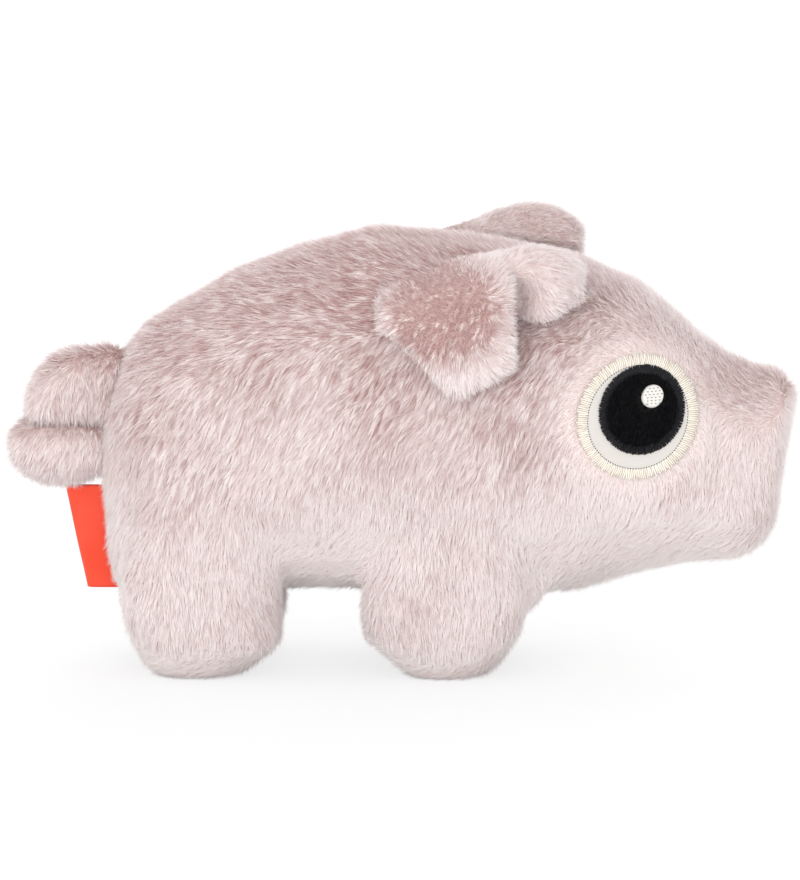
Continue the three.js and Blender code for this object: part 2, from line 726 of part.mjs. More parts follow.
function addEyes(group) {
  const wholePost = (radius) => eyePost(0, 0, radius, discSegments);
  const pupilPost = (radius) => eyePost(pupilForward, pupilUp, radius, discSegments);
  const pupilLow = clearance + feltThickness + clearance;
  const shineLow = pupilLow + feltThickness + clearance;
  const shine = eyePost(highlightForward, highlightUp, highlightRadius, highlightSegments);
  const [felt, rim] = discAndRing(wholePost, eyeRadius, eyeRimWidth, feltUnderThread, clearance);
  const [pupil, pupilRim] = discAndRing(pupilPost, pupilRadius, pupilRimWidth, feltUnderThread, pupilLow);
  const pieces = [
    ["felt", felt, whiteFelt],
    ["rim", rim, creamThread],
    ["pupil", pupil, blackFelt],
    ["pupil_rim", pupilRim, blackThread],
    ["highlight", layerOf(shine, shineLow, shineLow + threadThickness), creamThread],
  ];
  for (const { name, side } of sides) {
    for (const [piece, solid, material] of pieces) {
      group.add(meshOf(`eye_${name}_${piece}`, solid, material, side));
    }
  }
}

const pig = new THREE.Group();
addTrunk(pig);
addLegs(pig);
addSnout(pig);
addEyes(pig);
addEars(pig);
addTail(pig);
addLabel(pig);

// The origin is on the floor, under the middle of the whole toy.
const extent = new THREE.Box3().setFromObject(pig);
pig.position.set(-(extent.min.x + extent.max.x) / 2, 0, -extent.min.z);

export default pig;
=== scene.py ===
"""A small stuffed toy pig of pink plush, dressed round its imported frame.

Every size in the classes is written in millimetres and turned into metres by mm(). The pig's snout
points along +X, its left side is +Y and it stands on the floor at Z = 0.
"""

import logging
import math
from dataclasses import dataclass
from enum import Enum
from typing import Any, Iterable, Sequence

import bmesh
import bpy
import numpy as np
from mathutils import Matrix, Vector, noise
from mathutils.bvhtree import BVHTree
from mathutils.kdtree import KDTree


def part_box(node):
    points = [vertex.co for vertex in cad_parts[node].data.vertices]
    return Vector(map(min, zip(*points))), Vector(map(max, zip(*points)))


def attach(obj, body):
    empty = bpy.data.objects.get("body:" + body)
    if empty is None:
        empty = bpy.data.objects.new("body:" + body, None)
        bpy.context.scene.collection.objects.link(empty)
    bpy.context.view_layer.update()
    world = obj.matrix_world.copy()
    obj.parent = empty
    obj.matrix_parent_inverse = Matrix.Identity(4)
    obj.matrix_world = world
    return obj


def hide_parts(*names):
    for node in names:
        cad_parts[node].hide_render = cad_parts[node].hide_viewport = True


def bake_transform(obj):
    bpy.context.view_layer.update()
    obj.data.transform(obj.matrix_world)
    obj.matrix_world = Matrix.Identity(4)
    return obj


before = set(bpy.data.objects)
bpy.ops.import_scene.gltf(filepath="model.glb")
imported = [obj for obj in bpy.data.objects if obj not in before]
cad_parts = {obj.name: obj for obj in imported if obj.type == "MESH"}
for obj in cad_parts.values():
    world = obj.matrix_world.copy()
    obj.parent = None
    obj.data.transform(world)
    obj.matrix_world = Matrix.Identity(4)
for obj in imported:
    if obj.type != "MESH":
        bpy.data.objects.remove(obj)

LOG = logging.getLogger("plush_pig")
Array = np.ndarray
Named = dict[str, Any]
Inputs = dict[str | int, Any]
Piece = bpy.types.Object
Mesh = bpy.types.Mesh
Material = bpy.types.Material
Tree = bpy.types.NodeTree
Socket = bpy.types.NodeSocket
Colour = tuple[float, float, float]
Place = tuple[float, float, float]
Span = tuple[float, float]
Bulge = tuple[Place, Place]
UP = np.array((0.0, 0.0, 1.0))
LAST_TRIANGLES = 190_000  # a piece holds fewer than this
SPIKE_POINTS = 4  # three at the root of a spike of pile and one at its tip
THREAD_ARCH = 2.3  # how high the bend of a stitch is set, in shares of the rise of its middle
THREAD_DIP = -0.35  # how deep its ends are sunk, in the same shares
FRAYED = (-0.25, 1.0)  # how much shorter or longer a satin stitch turns out, in shares of its fray


def mm(value: float) -> float:
    """A length in millimetres as metres."""
    return value / 1000


def tinted(red: int, green: int, blue: int) -> Colour:
    """A colour as the eye reads it, turned into the linear light that a shader wants.

    Args:
        red: How much red it holds, from 0 to 255.
        green: How much green.
        blue: How much blue.

    Returns:
        The colour in linear light, from 0 to 1.
    """
    return tuple(
        c / 12.92 if c <= 0.04045 else ((c + 0.055) / 1.055) ** 2.4
        for c in (red / 255, green / 255, blue / 255)
    )


def unit(vectors: Array) -> Array:
    """Rows of vectors at length one."""
    lengths = np.linalg.norm(vectors, axis=-1, keepdims=True)
    return vectors / np.maximum(lengths, 1e-12)


def smooth(values: Array, low: float, high: float) -> Array:
    """A soft step from 0 at low to 1 at high."""
    t = np.clip((values - low) / (high - low), 0, 1)
    return t * t * (3 - 2 * t)


def gained(pair: Span, share: Array) -> Array:
    """The first number of a pair, with a share of the second added to it."""
    return pair[0] + pair[1] * share


def rising(metres: Array, span: Span) -> Array:
    """A soft step over lengths in metres, from 0 to 1 along a span in millimetres."""
    return smooth(metres, mm(span[0]), mm(span[1]))


class Side(Enum):
    """The pig's two sides, with the sign of Y there."""

    LEFT = 1
    RIGHT = -1

    @property
    def label(self) -> str:
        """The side's name as the frame spells it."""
        return self.name.lower()


# Meshes


def values_of(items: Any, name: str, width: int = 1, kind: type = np.float32) -> Array:
    """What every item of one of a mesh's collections holds under a name.

    Args:
        items: The collection, such as a mesh's edges.
        name: The property's name.
        width: How many numbers each item holds.
        kind: The kind of number.

    Returns:
        One number for each item, or one row where an item holds more.
    """
    found = np.empty(len(items) * width, kind)
    items.foreach_get(name, found)
    return found if width == 1 else found.reshape(-1, width)


def points_of(mesh: Mesh) -> Array:
    """The places of a mesh's points, one row each."""
    return values_of(mesh.vertices, "co", 3).astype(float)


def normals_of(mesh: Mesh) -> Array:
    """The outward direction at each point of a mesh."""
    return values_of(mesh.vertex_normals, "vector", 3).astype(float)


def rimmed(rows: int, columns: int) -> list[list[int]]:
    """The faces of two nets of points, one over the other, joined all round their rims.

    Args:
        rows: The rows of points in each net.
        columns: The points in each row.

    Returns:
        The points of each face, where the second net's follow the first's.
    """
    net = rows * columns
    faces = []
    for a in (r * columns + c for r in range(rows - 1) for c in range(columns - 1)):
        b = a + columns
        faces.append([a, b, b + 1, a + 1])
        faces.append([net + a, net + a + 1, net + b + 1, net + b])
    loop = [r * columns for r in range(rows)]
    loop += [net - columns + c for c in range(1, columns)]
    loop += [r * columns + columns - 1 for r in reversed(range(rows - 1))]
    loop += list(range(columns - 2, 0, -1))
    return faces + [[a, net + a, net + b, b] for a, b in zip(loop, loop[1:] + loop[:1])]


def move_points(mesh: Mesh, points: Array) -> None:
    """Puts a mesh's points at new places."""
    mesh.vertices.foreach_set("co", points.astype(np.float32).ravel())
    mesh.update()


def mesh_of(name: str, points: Array, faces: Sequence[Sequence[int]]) -> Mesh:
    """A mesh with smooth faces that point outwards.

    Args:
        name: The mesh's name.
        points: One row for each point.
        faces: The points of each face.

    Returns:
        The mesh, with its normals turned outwards.
    """
    mesh = bpy.data.meshes.new(name)
    mesh.from_pydata([tuple(p) for p in points], [], [tuple(f) for f in faces])
    shell = bmesh.new()
    shell.from_mesh(mesh)
    bmesh.ops.recalc_face_normals(shell, faces=shell.faces)
    shell.to_mesh(mesh)
    shell.free()
    mesh.shade_smooth()
    return mesh


def placed(name: str, data: bpy.types.ID) -> Piece:
    """A new object at the origin of the scene.

    Args:
        name: The object's name.
        data: The mesh, the camera or the lamp that it shows.

    Returns:
        The new object.
    """
    made = bpy.data.objects.new(name, data)
    bpy.context.scene.collection.objects.link(made)
    return made


def discard(made: Piece) -> None:
    """Takes a helper object out of the scene, with its mesh.

    Args:
        made: The helper.
    """
    mesh = made.data
    bpy.data.objects.remove(made)
    bpy.data.meshes.remove(mesh)


def baked(helper: Piece, name: str) -> Piece:
    """The result of a helper's modifiers as a plain mesh object of its own.

    Args:
        helper: The object that carries the modifiers. It is taken out of the scene.
        name: The new object's name.

    Returns:
        The new object, without modifiers.
    """
    graph = bpy.context.evaluated_depsgraph_get()
    mesh = bpy.data.meshes.new_from_object(
        helper.evaluated_get(graph), preserve_all_data_layers=True, depsgraph=graph
    )
    mesh.name = name
    discard(helper)
    return placed(name, mesh)


def merged(names: Iterable[str], bulges: Sequence[Bulge] = ()) -> Mesh:
    """One mesh from copies of the frame's nodes, with round lumps added.

    Args:
        names: The nodes.
        bulges: The middle of each lump and its reach on the three axes, in millimetres.

    Returns:
        The mesh, with doubled points joined.
    """
    whole = bmesh.new()
    for name in names:
        whole.from_mesh(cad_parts[name].data)
    bmesh.ops.remove_doubles(whole, verts=whole.verts, dist=mm(0.01))
    for middle, reach in bulges:
        size = Matrix.LocRotScale(Vector(middle) / 1000, None, Vector(reach) / 1000)
        bmesh.ops.create_icosphere(whole, subdivisions=3, radius=1.0, matrix=size)
    mesh = bpy.data.meshes.new("merged")
    whole.to_mesh(mesh)
    whole.free()
    return mesh


def remeshed(name: str, mesh: Mesh, voxel: float) -> Piece:
    """One closed skin round all the solids of a mesh.

    Args:
        name: The new object's name.
        mesh: Closed solids, which may touch or cross.
        voxel: The size of the skin's faces, in metres.

    Returns:
        The object with the skin.
    """
    helper = placed(name + "_helper", mesh)
    helper.modifiers.new("skin", "REMESH").mode = "VOXEL"
    helper.modifiers["skin"].voxel_size = voxel
    return baked(helper, name)


def relaxed(mesh: Mesh, rounds: int, pull: float = 0.5, push: float = 0.53) -> None:
    """Smooths a mesh without shrinking it, by pulling each point in and pushing it out again.

    Args:
        mesh: The mesh to smooth.
        rounds: How many times it is pulled and pushed.
        pull: The share of the way to the middle of its neighbours that a point is pulled.
        push: The share that it is pushed back.
    """
    a, b = values_of(mesh.edges, "vertices", 2, np.int32).T
    points = points_of(mesh)
    count = len(points)
    near = np.bincount(a, minlength=count) + np.bincount(b, minlength=count)
    for share in (pull, -push) * rounds:
        middle = np.empty_like(points)
        for c in range(3):
            middle[:, c] = np.bincount(a, points[b, c], count) + np.bincount(b, points[a, c], count)
        points += share * (middle / np.maximum(near, 1)[:, None] - points)
    move_points(mesh, points)


def lumps(points: Array, size: float, height: float, seed: float) -> Array:
    """How far soft filling lifts or lowers the skin at each point.

    Args:
        points: The points of the skin.
        size: How far apart the lumps are, in metres.
        height: The most that a lump rises, in metres.
        seed: Moves the pattern, so that two skins differ.

    Returns:
        The rise at each point, in metres.
    """
    shift = Vector((seed, seed * 0.7, -seed))
    return height * np.array([noise.noise(Vector(p) / size + shift) for p in points])


# Node trees


def socket_of(sockets: Any, key: str | int) -> Socket:
    """One of a node's sockets.

    Args:
        sockets: The node's inputs or its outputs.
        key: The socket's number, or its name, which stands for the one that the settings show.

    Returns:
        The socket.
    """
    if isinstance(key, int):
        return sockets[key]
    return next(s for s in sockets if s.name == key and s.enabled)


class Nodes:
    """A node tree that is put together one node at a time."""

    def __init__(self, tree: Tree) -> None:
        """Starts on a tree that may already hold nodes."""
        self.tree = tree

    def feed(self, socket: Socket, value: Any) -> None:
        """Links a socket to another one, or sets it to a plain value.

        Args:
            socket: The socket that is fed.
            value: Another socket, a plain value, or None to leave it as it is.
        """
        if isinstance(value, Socket):
            self.tree.links.new(value, socket)
        elif value is not None:
            socket.default_value = value

    def add(self, kind: str, settings: Named, inputs: Inputs) -> bpy.types.Node:
        """Adds a node.

        Args:
            kind: Blender's name for the kind of node.
            settings: The node's own settings by name.
            inputs: A value or a socket for each input that isn't left as it is.

        Returns:
            The new node.
        """
        node = self.tree.nodes.new(kind)
        for name, value in settings.items():
            setattr(node, name, value)
        for key, value in inputs.items():
            self.feed(socket_of(node.inputs, key), value)
        return node

    def out(self, kind: str, settings: Named, inputs: Inputs) -> Socket:
        """Adds a node, as add does, and returns its first output that is in use."""
        node = self.add(kind, settings, inputs)
        return next(s for s in node.outputs if s.enabled)

    def sum(self, operation: str, *values: Any) -> Socket:
        """A number worked out from one to three others."""
        return self.out("ShaderNodeMath", {"operation": operation}, dict(enumerate(values)))

    def times(self, first: Any, second: Any) -> Socket:
        """Two numbers multiplied."""
        return self.sum("MULTIPLY", first, second)

    def plus(self, first: Any, second: Any) -> Socket:
        """Two numbers added."""
        return self.sum("ADD", first, second)


class Pattern(Nodes):
    """The nodes of a surface finish round one Principled shader."""

    def __init__(self, name: str, roughness: float, sheen: float = 0.0, gloss: float = 0.5) -> None:
        """Starts a material.

        Args:
            name: The material's name.
            roughness: From 0, polished, to 1, dull.
            sheen: How much pale fuzz light catches at the edges.
            gloss: How much light the surface mirrors straight on.
        """
        self.material = bpy.data.materials.new(name)
        self.material.use_nodes = True
        super().__init__(self.material.node_tree)
        self.shader = self.tree.nodes["Principled BSDF"]
        self.shader.inputs["Roughness"].default_value = roughness
        self.shader.inputs["Specular IOR Level"].default_value = gloss
        self.shader.inputs["Sheen Weight"].default_value = sheen
        self.shader.inputs["Sheen Roughness"].default_value = 0.5
        self.places = self.out("ShaderNodeTexCoord", {}, {})

    def object_places(self) -> Socket:
        """The place of each point in the object's own coordinates."""
        return self.places.node.outputs["Object"]

    def attribute(self, name: str) -> Socket:
        """A number that the mesh holds at each point."""
        node = self.add("ShaderNodeAttribute", {"attribute_name": name}, {})
        return node.outputs["Fac"]

    def grain(self, size: float, detail: float = 2.0, roughness: float = 0.5) -> Socket:
        """A soft random pattern from 0 to 1.

        Args:
            size: How far apart its features are, in metres.
            detail: How many finer patterns lie over it.
            roughness: How much the finer ones count.

        Returns:
            The pattern's value.
        """
        inputs = {
            "Vector": self.object_places(),
            "Scale": 1 / size,
            "Detail": detail,
            "Roughness": roughness,
        }
        return self.out("ShaderNodeTexNoise", {}, inputs)

    def blend(self, share: Any, first: Any, second: Any, way: str = "MIX") -> Socket:
        """Two colours mixed, the second over the first.

        Args:
            share: How much of the second colour shows.
            first: The lower colour, or a socket that gives it.
            second: The upper one.
            way: Blender's name for the way of mixing.

        Returns:
            The mixed colour.
        """
        settings = {"data_type": "RGBA", "blend_type": way}
        colours = [c if isinstance(c, Socket) else (*c, 1.0) for c in (first, second)]
        inputs = {"Factor": share, "A": colours[0], "B": colours[1]}
        return self.out("ShaderNodeMix", settings, inputs)

    def rough(self, height: Socket, strength: float, depth: float) -> None:
        """Raises the surface by a pattern, up to a depth in metres."""
        inputs = {"Height": height, "Strength": strength, "Distance": depth}
        self.feed(self.shader.inputs["Normal"], self.out("ShaderNodeBump", {}, inputs))

    def coloured(self, colour: Any) -> Material:
        """Gives the shader its colour.

        Args:
            colour: The colour, or a socket that gives it.

        Returns:
            The finished material.
        """
        value = colour if isinstance(colour, Socket) else (*colour, 1.0)
        self.feed(self.shader.inputs["Base Color"], value)
        return self.material


class Growth(Nodes):
    """A geometry node tree with named inputs."""

    def __init__(self, name: str, counts: Sequence[str], sizes: Sequence[str]) -> None:
        """Starts a tree. A seed and a finish are among its inputs.

        Args:
            name: The tree's name.
            counts: The names of its other inputs that are whole numbers.
            sizes: The names of those that aren't.
        """
        super().__init__(bpy.data.node_groups.new(name, "GeometryNodeTree"))
        kinds = {"Geometry": "Geometry", "Seed": "Int", "Finish": "Material"}
        kinds |= dict.fromkeys(counts, "Int") | dict.fromkeys(sizes, "Float")
        ports = self.tree.interface
        for key, kind in kinds.items():
            ports.new_socket(key, in_out="INPUT", socket_type=f"NodeSocket{kind}")
        ports.new_socket("Geometry", in_out="OUTPUT", socket_type="NodeSocketGeometry")
        self.entry = self.tree.nodes.new("NodeGroupInput")
        self.exit = self.tree.nodes.new("NodeGroupOutput")

    def given(self, name: str) -> Socket:
        """One of the tree's own inputs."""
        return self.entry.outputs[name]

    def held(self, name: str, kind: str = "FLOAT") -> Socket:
        """What the geometry holds under a name."""
        return self.out("GeometryNodeInputNamedAttribute", {"data_type": kind}, {"Name": name})

    def kept(self, geometry: Any, name: str, value: Any, kind: str, domain: str) -> Socket:
        """Stores a value on a geometry.

        Args:
            geometry: The geometry.
            name: The name that the value is stored under.
            value: The value.
            kind: Blender's name for the kind of value.
            domain: What holds it, such as POINT.

        Returns:
            The geometry with the value.
        """
        settings = {"data_type": kind, "domain": domain}
        inputs = {"Geometry": geometry, "Name": name, "Value": value}
        return self.out("GeometryNodeStoreNamedAttribute", settings, inputs)

    def vector(self, operation: str, *values: Any) -> Socket:
        """A vector worked out from others."""
        return self.out("ShaderNodeVectorMath", {"operation": operation}, dict(enumerate(values)))

    def scaled(self, vector: Any, by: Any) -> Socket:
        """A vector times a number."""
        return self.out("ShaderNodeVectorMath", {"operation": "SCALE"}, {0: vector, "Scale": by})

    def axes(self, **parts: Any) -> Socket:
        """A vector put together from numbers by axis."""
        return self.out("ShaderNodeCombineXYZ", {}, parts)

    def part(self, vector: Any, axis: str) -> Socket:
        """A vector's number along an axis."""
        return self.add("ShaderNodeSeparateXYZ", {}, {"Vector": vector}).outputs[axis]

    def position(self) -> Socket:
        """The place of each point."""
        return self.out("GeometryNodeInputPosition", {}, {})

    def moved(self, points: Any, offset: Any) -> Socket:
        """Points moved by a vector."""
        return self.out("GeometryNodeSetPosition", {}, {"Geometry": points, "Offset": offset})

    def circle(self) -> Socket:
        """As many points as the tree is asked for, in a circle of the radius that it is given."""
        sizes = {"Vertices": self.given("Count"), "Radius": self.given("Radius")}
        return self.out("GeometryNodeMeshCircle", {}, sizes)

    def noise(self, where: Any, size: float, output: str) -> Socket:
        """A soft random pattern read at a place, as a number (Fac) or a vector (Color)."""
        inputs = {"Vector": where, "Scale": 1 / size, "Detail": 1.0}
        return self.add("ShaderNodeTexNoise", {}, inputs).outputs[output]

    def drift(self, where: Any, size: float, amount: Any) -> Socket:
        """A vector that wanders over the skin to all sides, with turns a size apart."""
        wander = self.vector("SUBTRACT", self.noise(where, size, "Color"), (0.5, 0.5, 0.5))
        return self.scaled(wander, amount)

    def chance(self, low: float, high: float, shift: int) -> Socket:
        """A random number for each point.

        Args:
            low: The least that it can be.
            high: The most.
            shift: Each shift gives another set of numbers.

        Returns:
            The number.
        """
        seed = self.plus(self.given("Seed"), float(shift))
        limits = {"Min": low, "Max": high, "Seed": seed}
        return self.out("FunctionNodeRandomValue", {"data_type": "FLOAT"}, limits)

    def finish(self, instances: Socket) -> Tree:
        """Turns the instances into real geometry, gives it its finish and ends the tree.

        Args:
            instances: What the tree has made.

        Returns:
            The finished tree.
        """
        real = self.out("GeometryNodeRealizeInstances", {}, {"Geometry": instances})
        dressed = self.out(
            "GeometryNodeSetMaterial", {}, {"Geometry": real, "Material": self.given("Finish")}
        )
        self.feed(self.exit.inputs[0], dressed)
        return self.tree


def grown(helper: Piece, tree: Tree, values: Named, name: str) -> Piece:
    """The plain mesh that a geometry tree makes on a helper.

    Args:
        helper: The object that the tree grows on. It is taken out of the scene.
        tree: The geometry tree.
        values: A value for each of the tree's named inputs.
        name: The new object's name.

    Returns:
        The new object.
    """
    modifier = helper.modifiers.new("growth", "NODES")
    modifier.node_group = tree
    for item in tree.interface.items_tree:
        if item.item_type == "SOCKET" and item.in_out == "INPUT" and item.name in values:
            modifier[item.identifier] = values[item.name]
    return baked(helper, name)


def sprouted(tree: Tree, values: Named, name: str) -> Piece:
    """The plain mesh that a geometry tree makes from nothing, as grown does on a helper."""
    return grown(placed("empty", bpy.data.meshes.new("empty")), tree, values, name)


# Finishes


@dataclass(frozen=True)
class PlushFinish:
    """Short pile: darker and rosier at its roots, as painted shade between the spikes, and where it
    stands on end.

    Patches, tufts and single spikes differ in tone by chance, each as far as its own tone says.
    """

    name: str = "pink plush"
    # The root and deep colours are painted shade: the pile is painted darker at its roots, where
    # shade falls between the spikes.
    root: Colour = tinted(243, 223, 221)
    tip: Colour = tinted(251, 245, 243)
    rosy: Colour = tinted(206, 165, 162)
    deep: Colour = tinted(147, 119, 117)
    sheen: float = 0.5
    gloss: float = 0.15
    patch: float = mm(14)
    patch_tone: float = 0.25
    tuft: float = mm(2.4)
    tuft_tone: float = 0.3
    own_tone: float = 0.15
    rise: float = 0.7

    def material(self) -> Material:
        """The pile's material, which reads along, tint and tone from each spike.

        Returns:
            The material.
        """
        pattern = Pattern(self.name, roughness=0.85, sheen=self.sheen, gloss=self.gloss)
        patches = pattern.sum("SUBTRACT", pattern.grain(self.patch, 3.0), 0.5)
        tufts = pattern.sum("SUBTRACT", pattern.grain(self.tuft, 2.0), 0.5)
        chance = pattern.sum("SUBTRACT", pattern.attribute("tint"), 0.5)
        tone = pattern.sum("MULTIPLY_ADD", patches, self.patch_tone, pattern.attribute("tone"))
        tone = pattern.sum("MULTIPLY_ADD", tufts, self.tuft_tone, tone)
        tone = pattern.sum("MULTIPLY_ADD", chance, self.own_tone, tone)
        tone.node.use_clamp = True
        outer = pattern.blend(tone, self.tip, self.rosy)
        rise = pattern.sum("POWER", pattern.attribute("along"), self.rise)
        # Painted shade at the roots, darkest where the tone is high.
        inner = pattern.blend(tone, self.root, self.deep)
        return pattern.coloured(pattern.blend(rise, inner, outer))


@dataclass(frozen=True)
class BackingFinish:
    """The knitted ground of the plush, seen between the roots of its pile."""

    name: str = "plush backing"
    pale: Colour = tinted(232, 214, 210)
    rosy: Colour = tinted(198, 168, 163)

    def material(self) -> Material:
        """The ground's material, mottled by a fine grain and bumped by its knit.

        Returns:
            The material.
        """
        pattern = Pattern(self.name, roughness=0.95, sheen=0.2, gloss=0.1)
        grain = pattern.grain(mm(0.7), 3.0, 0.6)
        tone = pattern.sum("MULTIPLY_ADD", grain, 0.5, pattern.attribute("tone"))
        tone.node.use_clamp = True
        pattern.rough(grain, 0.6, mm(0.4))
        return pattern.coloured(pattern.blend(tone, self.pale, self.rosy))


@dataclass(frozen=True)
class FeltFinish:
    """Dense felt or short pile of one colour with a fibrous grain."""

    name: str
    pale: Colour
    dark: Colour
    grain: float = mm(0.5)
    depth: float = mm(0.08)

    def material(self) -> Material:
        """The felt's material, with a grain of fibres.

        Returns:
            The material.
        """
        pattern = Pattern(self.name, roughness=0.9, sheen=0.1, gloss=0.2)
        fibres = pattern.grain(self.grain, 4.0, 0.7)
        pattern.rough(fibres, 0.5, self.depth)
        return pattern.coloured(pattern.blend(fibres, self.pale, self.dark))


@dataclass(frozen=True)
class ThreadFinish:
    """Embroidery thread: a soft shine and a slight change from thread to thread."""

    name: str
    pale: Colour
    dark: Colour
    gloss: float = 0.5

    def material(self) -> Material:
        """The thread's material, which reads tint from each stitch.

        Returns:
            The material.
        """
        pattern = Pattern(self.name, roughness=0.5, gloss=self.gloss)
        twist = pattern.grain(mm(0.25), 1.0)
        share = pattern.sum("MULTIPLY_ADD", twist, 0.5, pattern.attribute("tint"))
        share = pattern.times(share, 0.6)
        pattern.rough(twist, 0.4, mm(0.05))
        return pattern.coloured(pattern.blend(share, self.pale, self.dark))


@dataclass(frozen=True)
class RibbonFinish:
    """Woven satin ribbon: fine threads across and along it."""

    name: str = "orange ribbon"
    pale: Colour = tinted(240, 72, 38)
    dark: Colour = tinted(222, 52, 26)
    rib: float = mm(0.28)

    def material(self) -> Material:
        """The ribbon's material, ribbed along its length.

        Returns:
            The material.
        """
        pattern = Pattern(self.name, roughness=0.5, sheen=0.1, gloss=0.4)
        bands = {
            "Vector": pattern.object_places(),
            "Scale": 1 / self.rib / 3,
            "Distortion": 0.4,
            "Detail": 1.0,
        }
        weft = pattern.out("ShaderNodeTexWave", {"bands_direction": "Z"}, bands)
        warp = pattern.out("ShaderNodeTexWave", {"bands_direction": "X"}, bands)
        weave = pattern.times(weft.node.outputs["Fac"], warp.node.outputs["Fac"])
        share = pattern.sum("MULTIPLY_ADD", pattern.grain(mm(6)), 0.7, weave)
        share = pattern.times(share, 0.45)
        pattern.rough(weave, 0.5, mm(0.05))
        return pattern.coloured(pattern.blend(share, self.pale, self.dark))


# Pile


@dataclass(frozen=True)
class Pile:
    """How a plush grows.

    Density is in spikes per square millimetre, sizes are in millimetres and lean is in degrees from
    upright where the pile lies fully down.
    """

    density: float = 7.4
    length: float = 4.0
    width: float = 0.36
    ridge: float = 0.18
    lean: float = 63.0
    wave: float = 1.1
    clump: float = 1.1
    seed: int = 7

    def values(self, finish: Material, seed: int) -> Named:
        """How the pile grows, as the pile's tree takes it.

        Args:
            finish: The pile's material.
            seed: Added to the pile's own, so that no two pieces are the same.

        Returns:
            A value for each of the tree's named inputs.
        """
        return {
            "Density": self.density * 1e6,
            "Length": mm(self.length),
            "Width": mm(self.width),
            "Ridge": mm(self.ridge),
            "Lean": math.radians(self.lean),
            "Wave": self.wave,
            "Clump": self.clump,
            "Seed": self.seed + seed,
            "Finish": finish,
        }


@dataclass(frozen=True)
class Tufts:
    """How spikes of pile gather in tufts, and how much they vary.

    The tufts run along the stroke. Its share is how much longer than wide they are: 0 is round, 1
    is endless. Sizes are in millimetres. Lean, length and width are the least and the most of what
    chance gives a spike. The other spans are a factor and what is added to it.
    """

    stroke: Place = (-0.42, 0.0, -0.91)
    stroke_share: float = 0.7
    sweep: float = 13.0
    stretch: float = 5.0
    clump: float = 1.2
    tuft: float = 0.8
    stray: float = 0.13
    lean: Span = (-0.28, 0.2)
    length: Span = (0.62, 1.0)
    width: Span = (0.7, 1.15)
    tuft_length: Span = (0.9, 0.6)
    lifted_way: Place = (0.5, 0.0, 1.0)
    lifted_tone: float = 0.25
    # How much darker the spikes between the tufts are painted, as painted shade, more where the
    # tone is high.
    ruffle: Span = (3.8, 0.5)
    sunk: float = 0.2


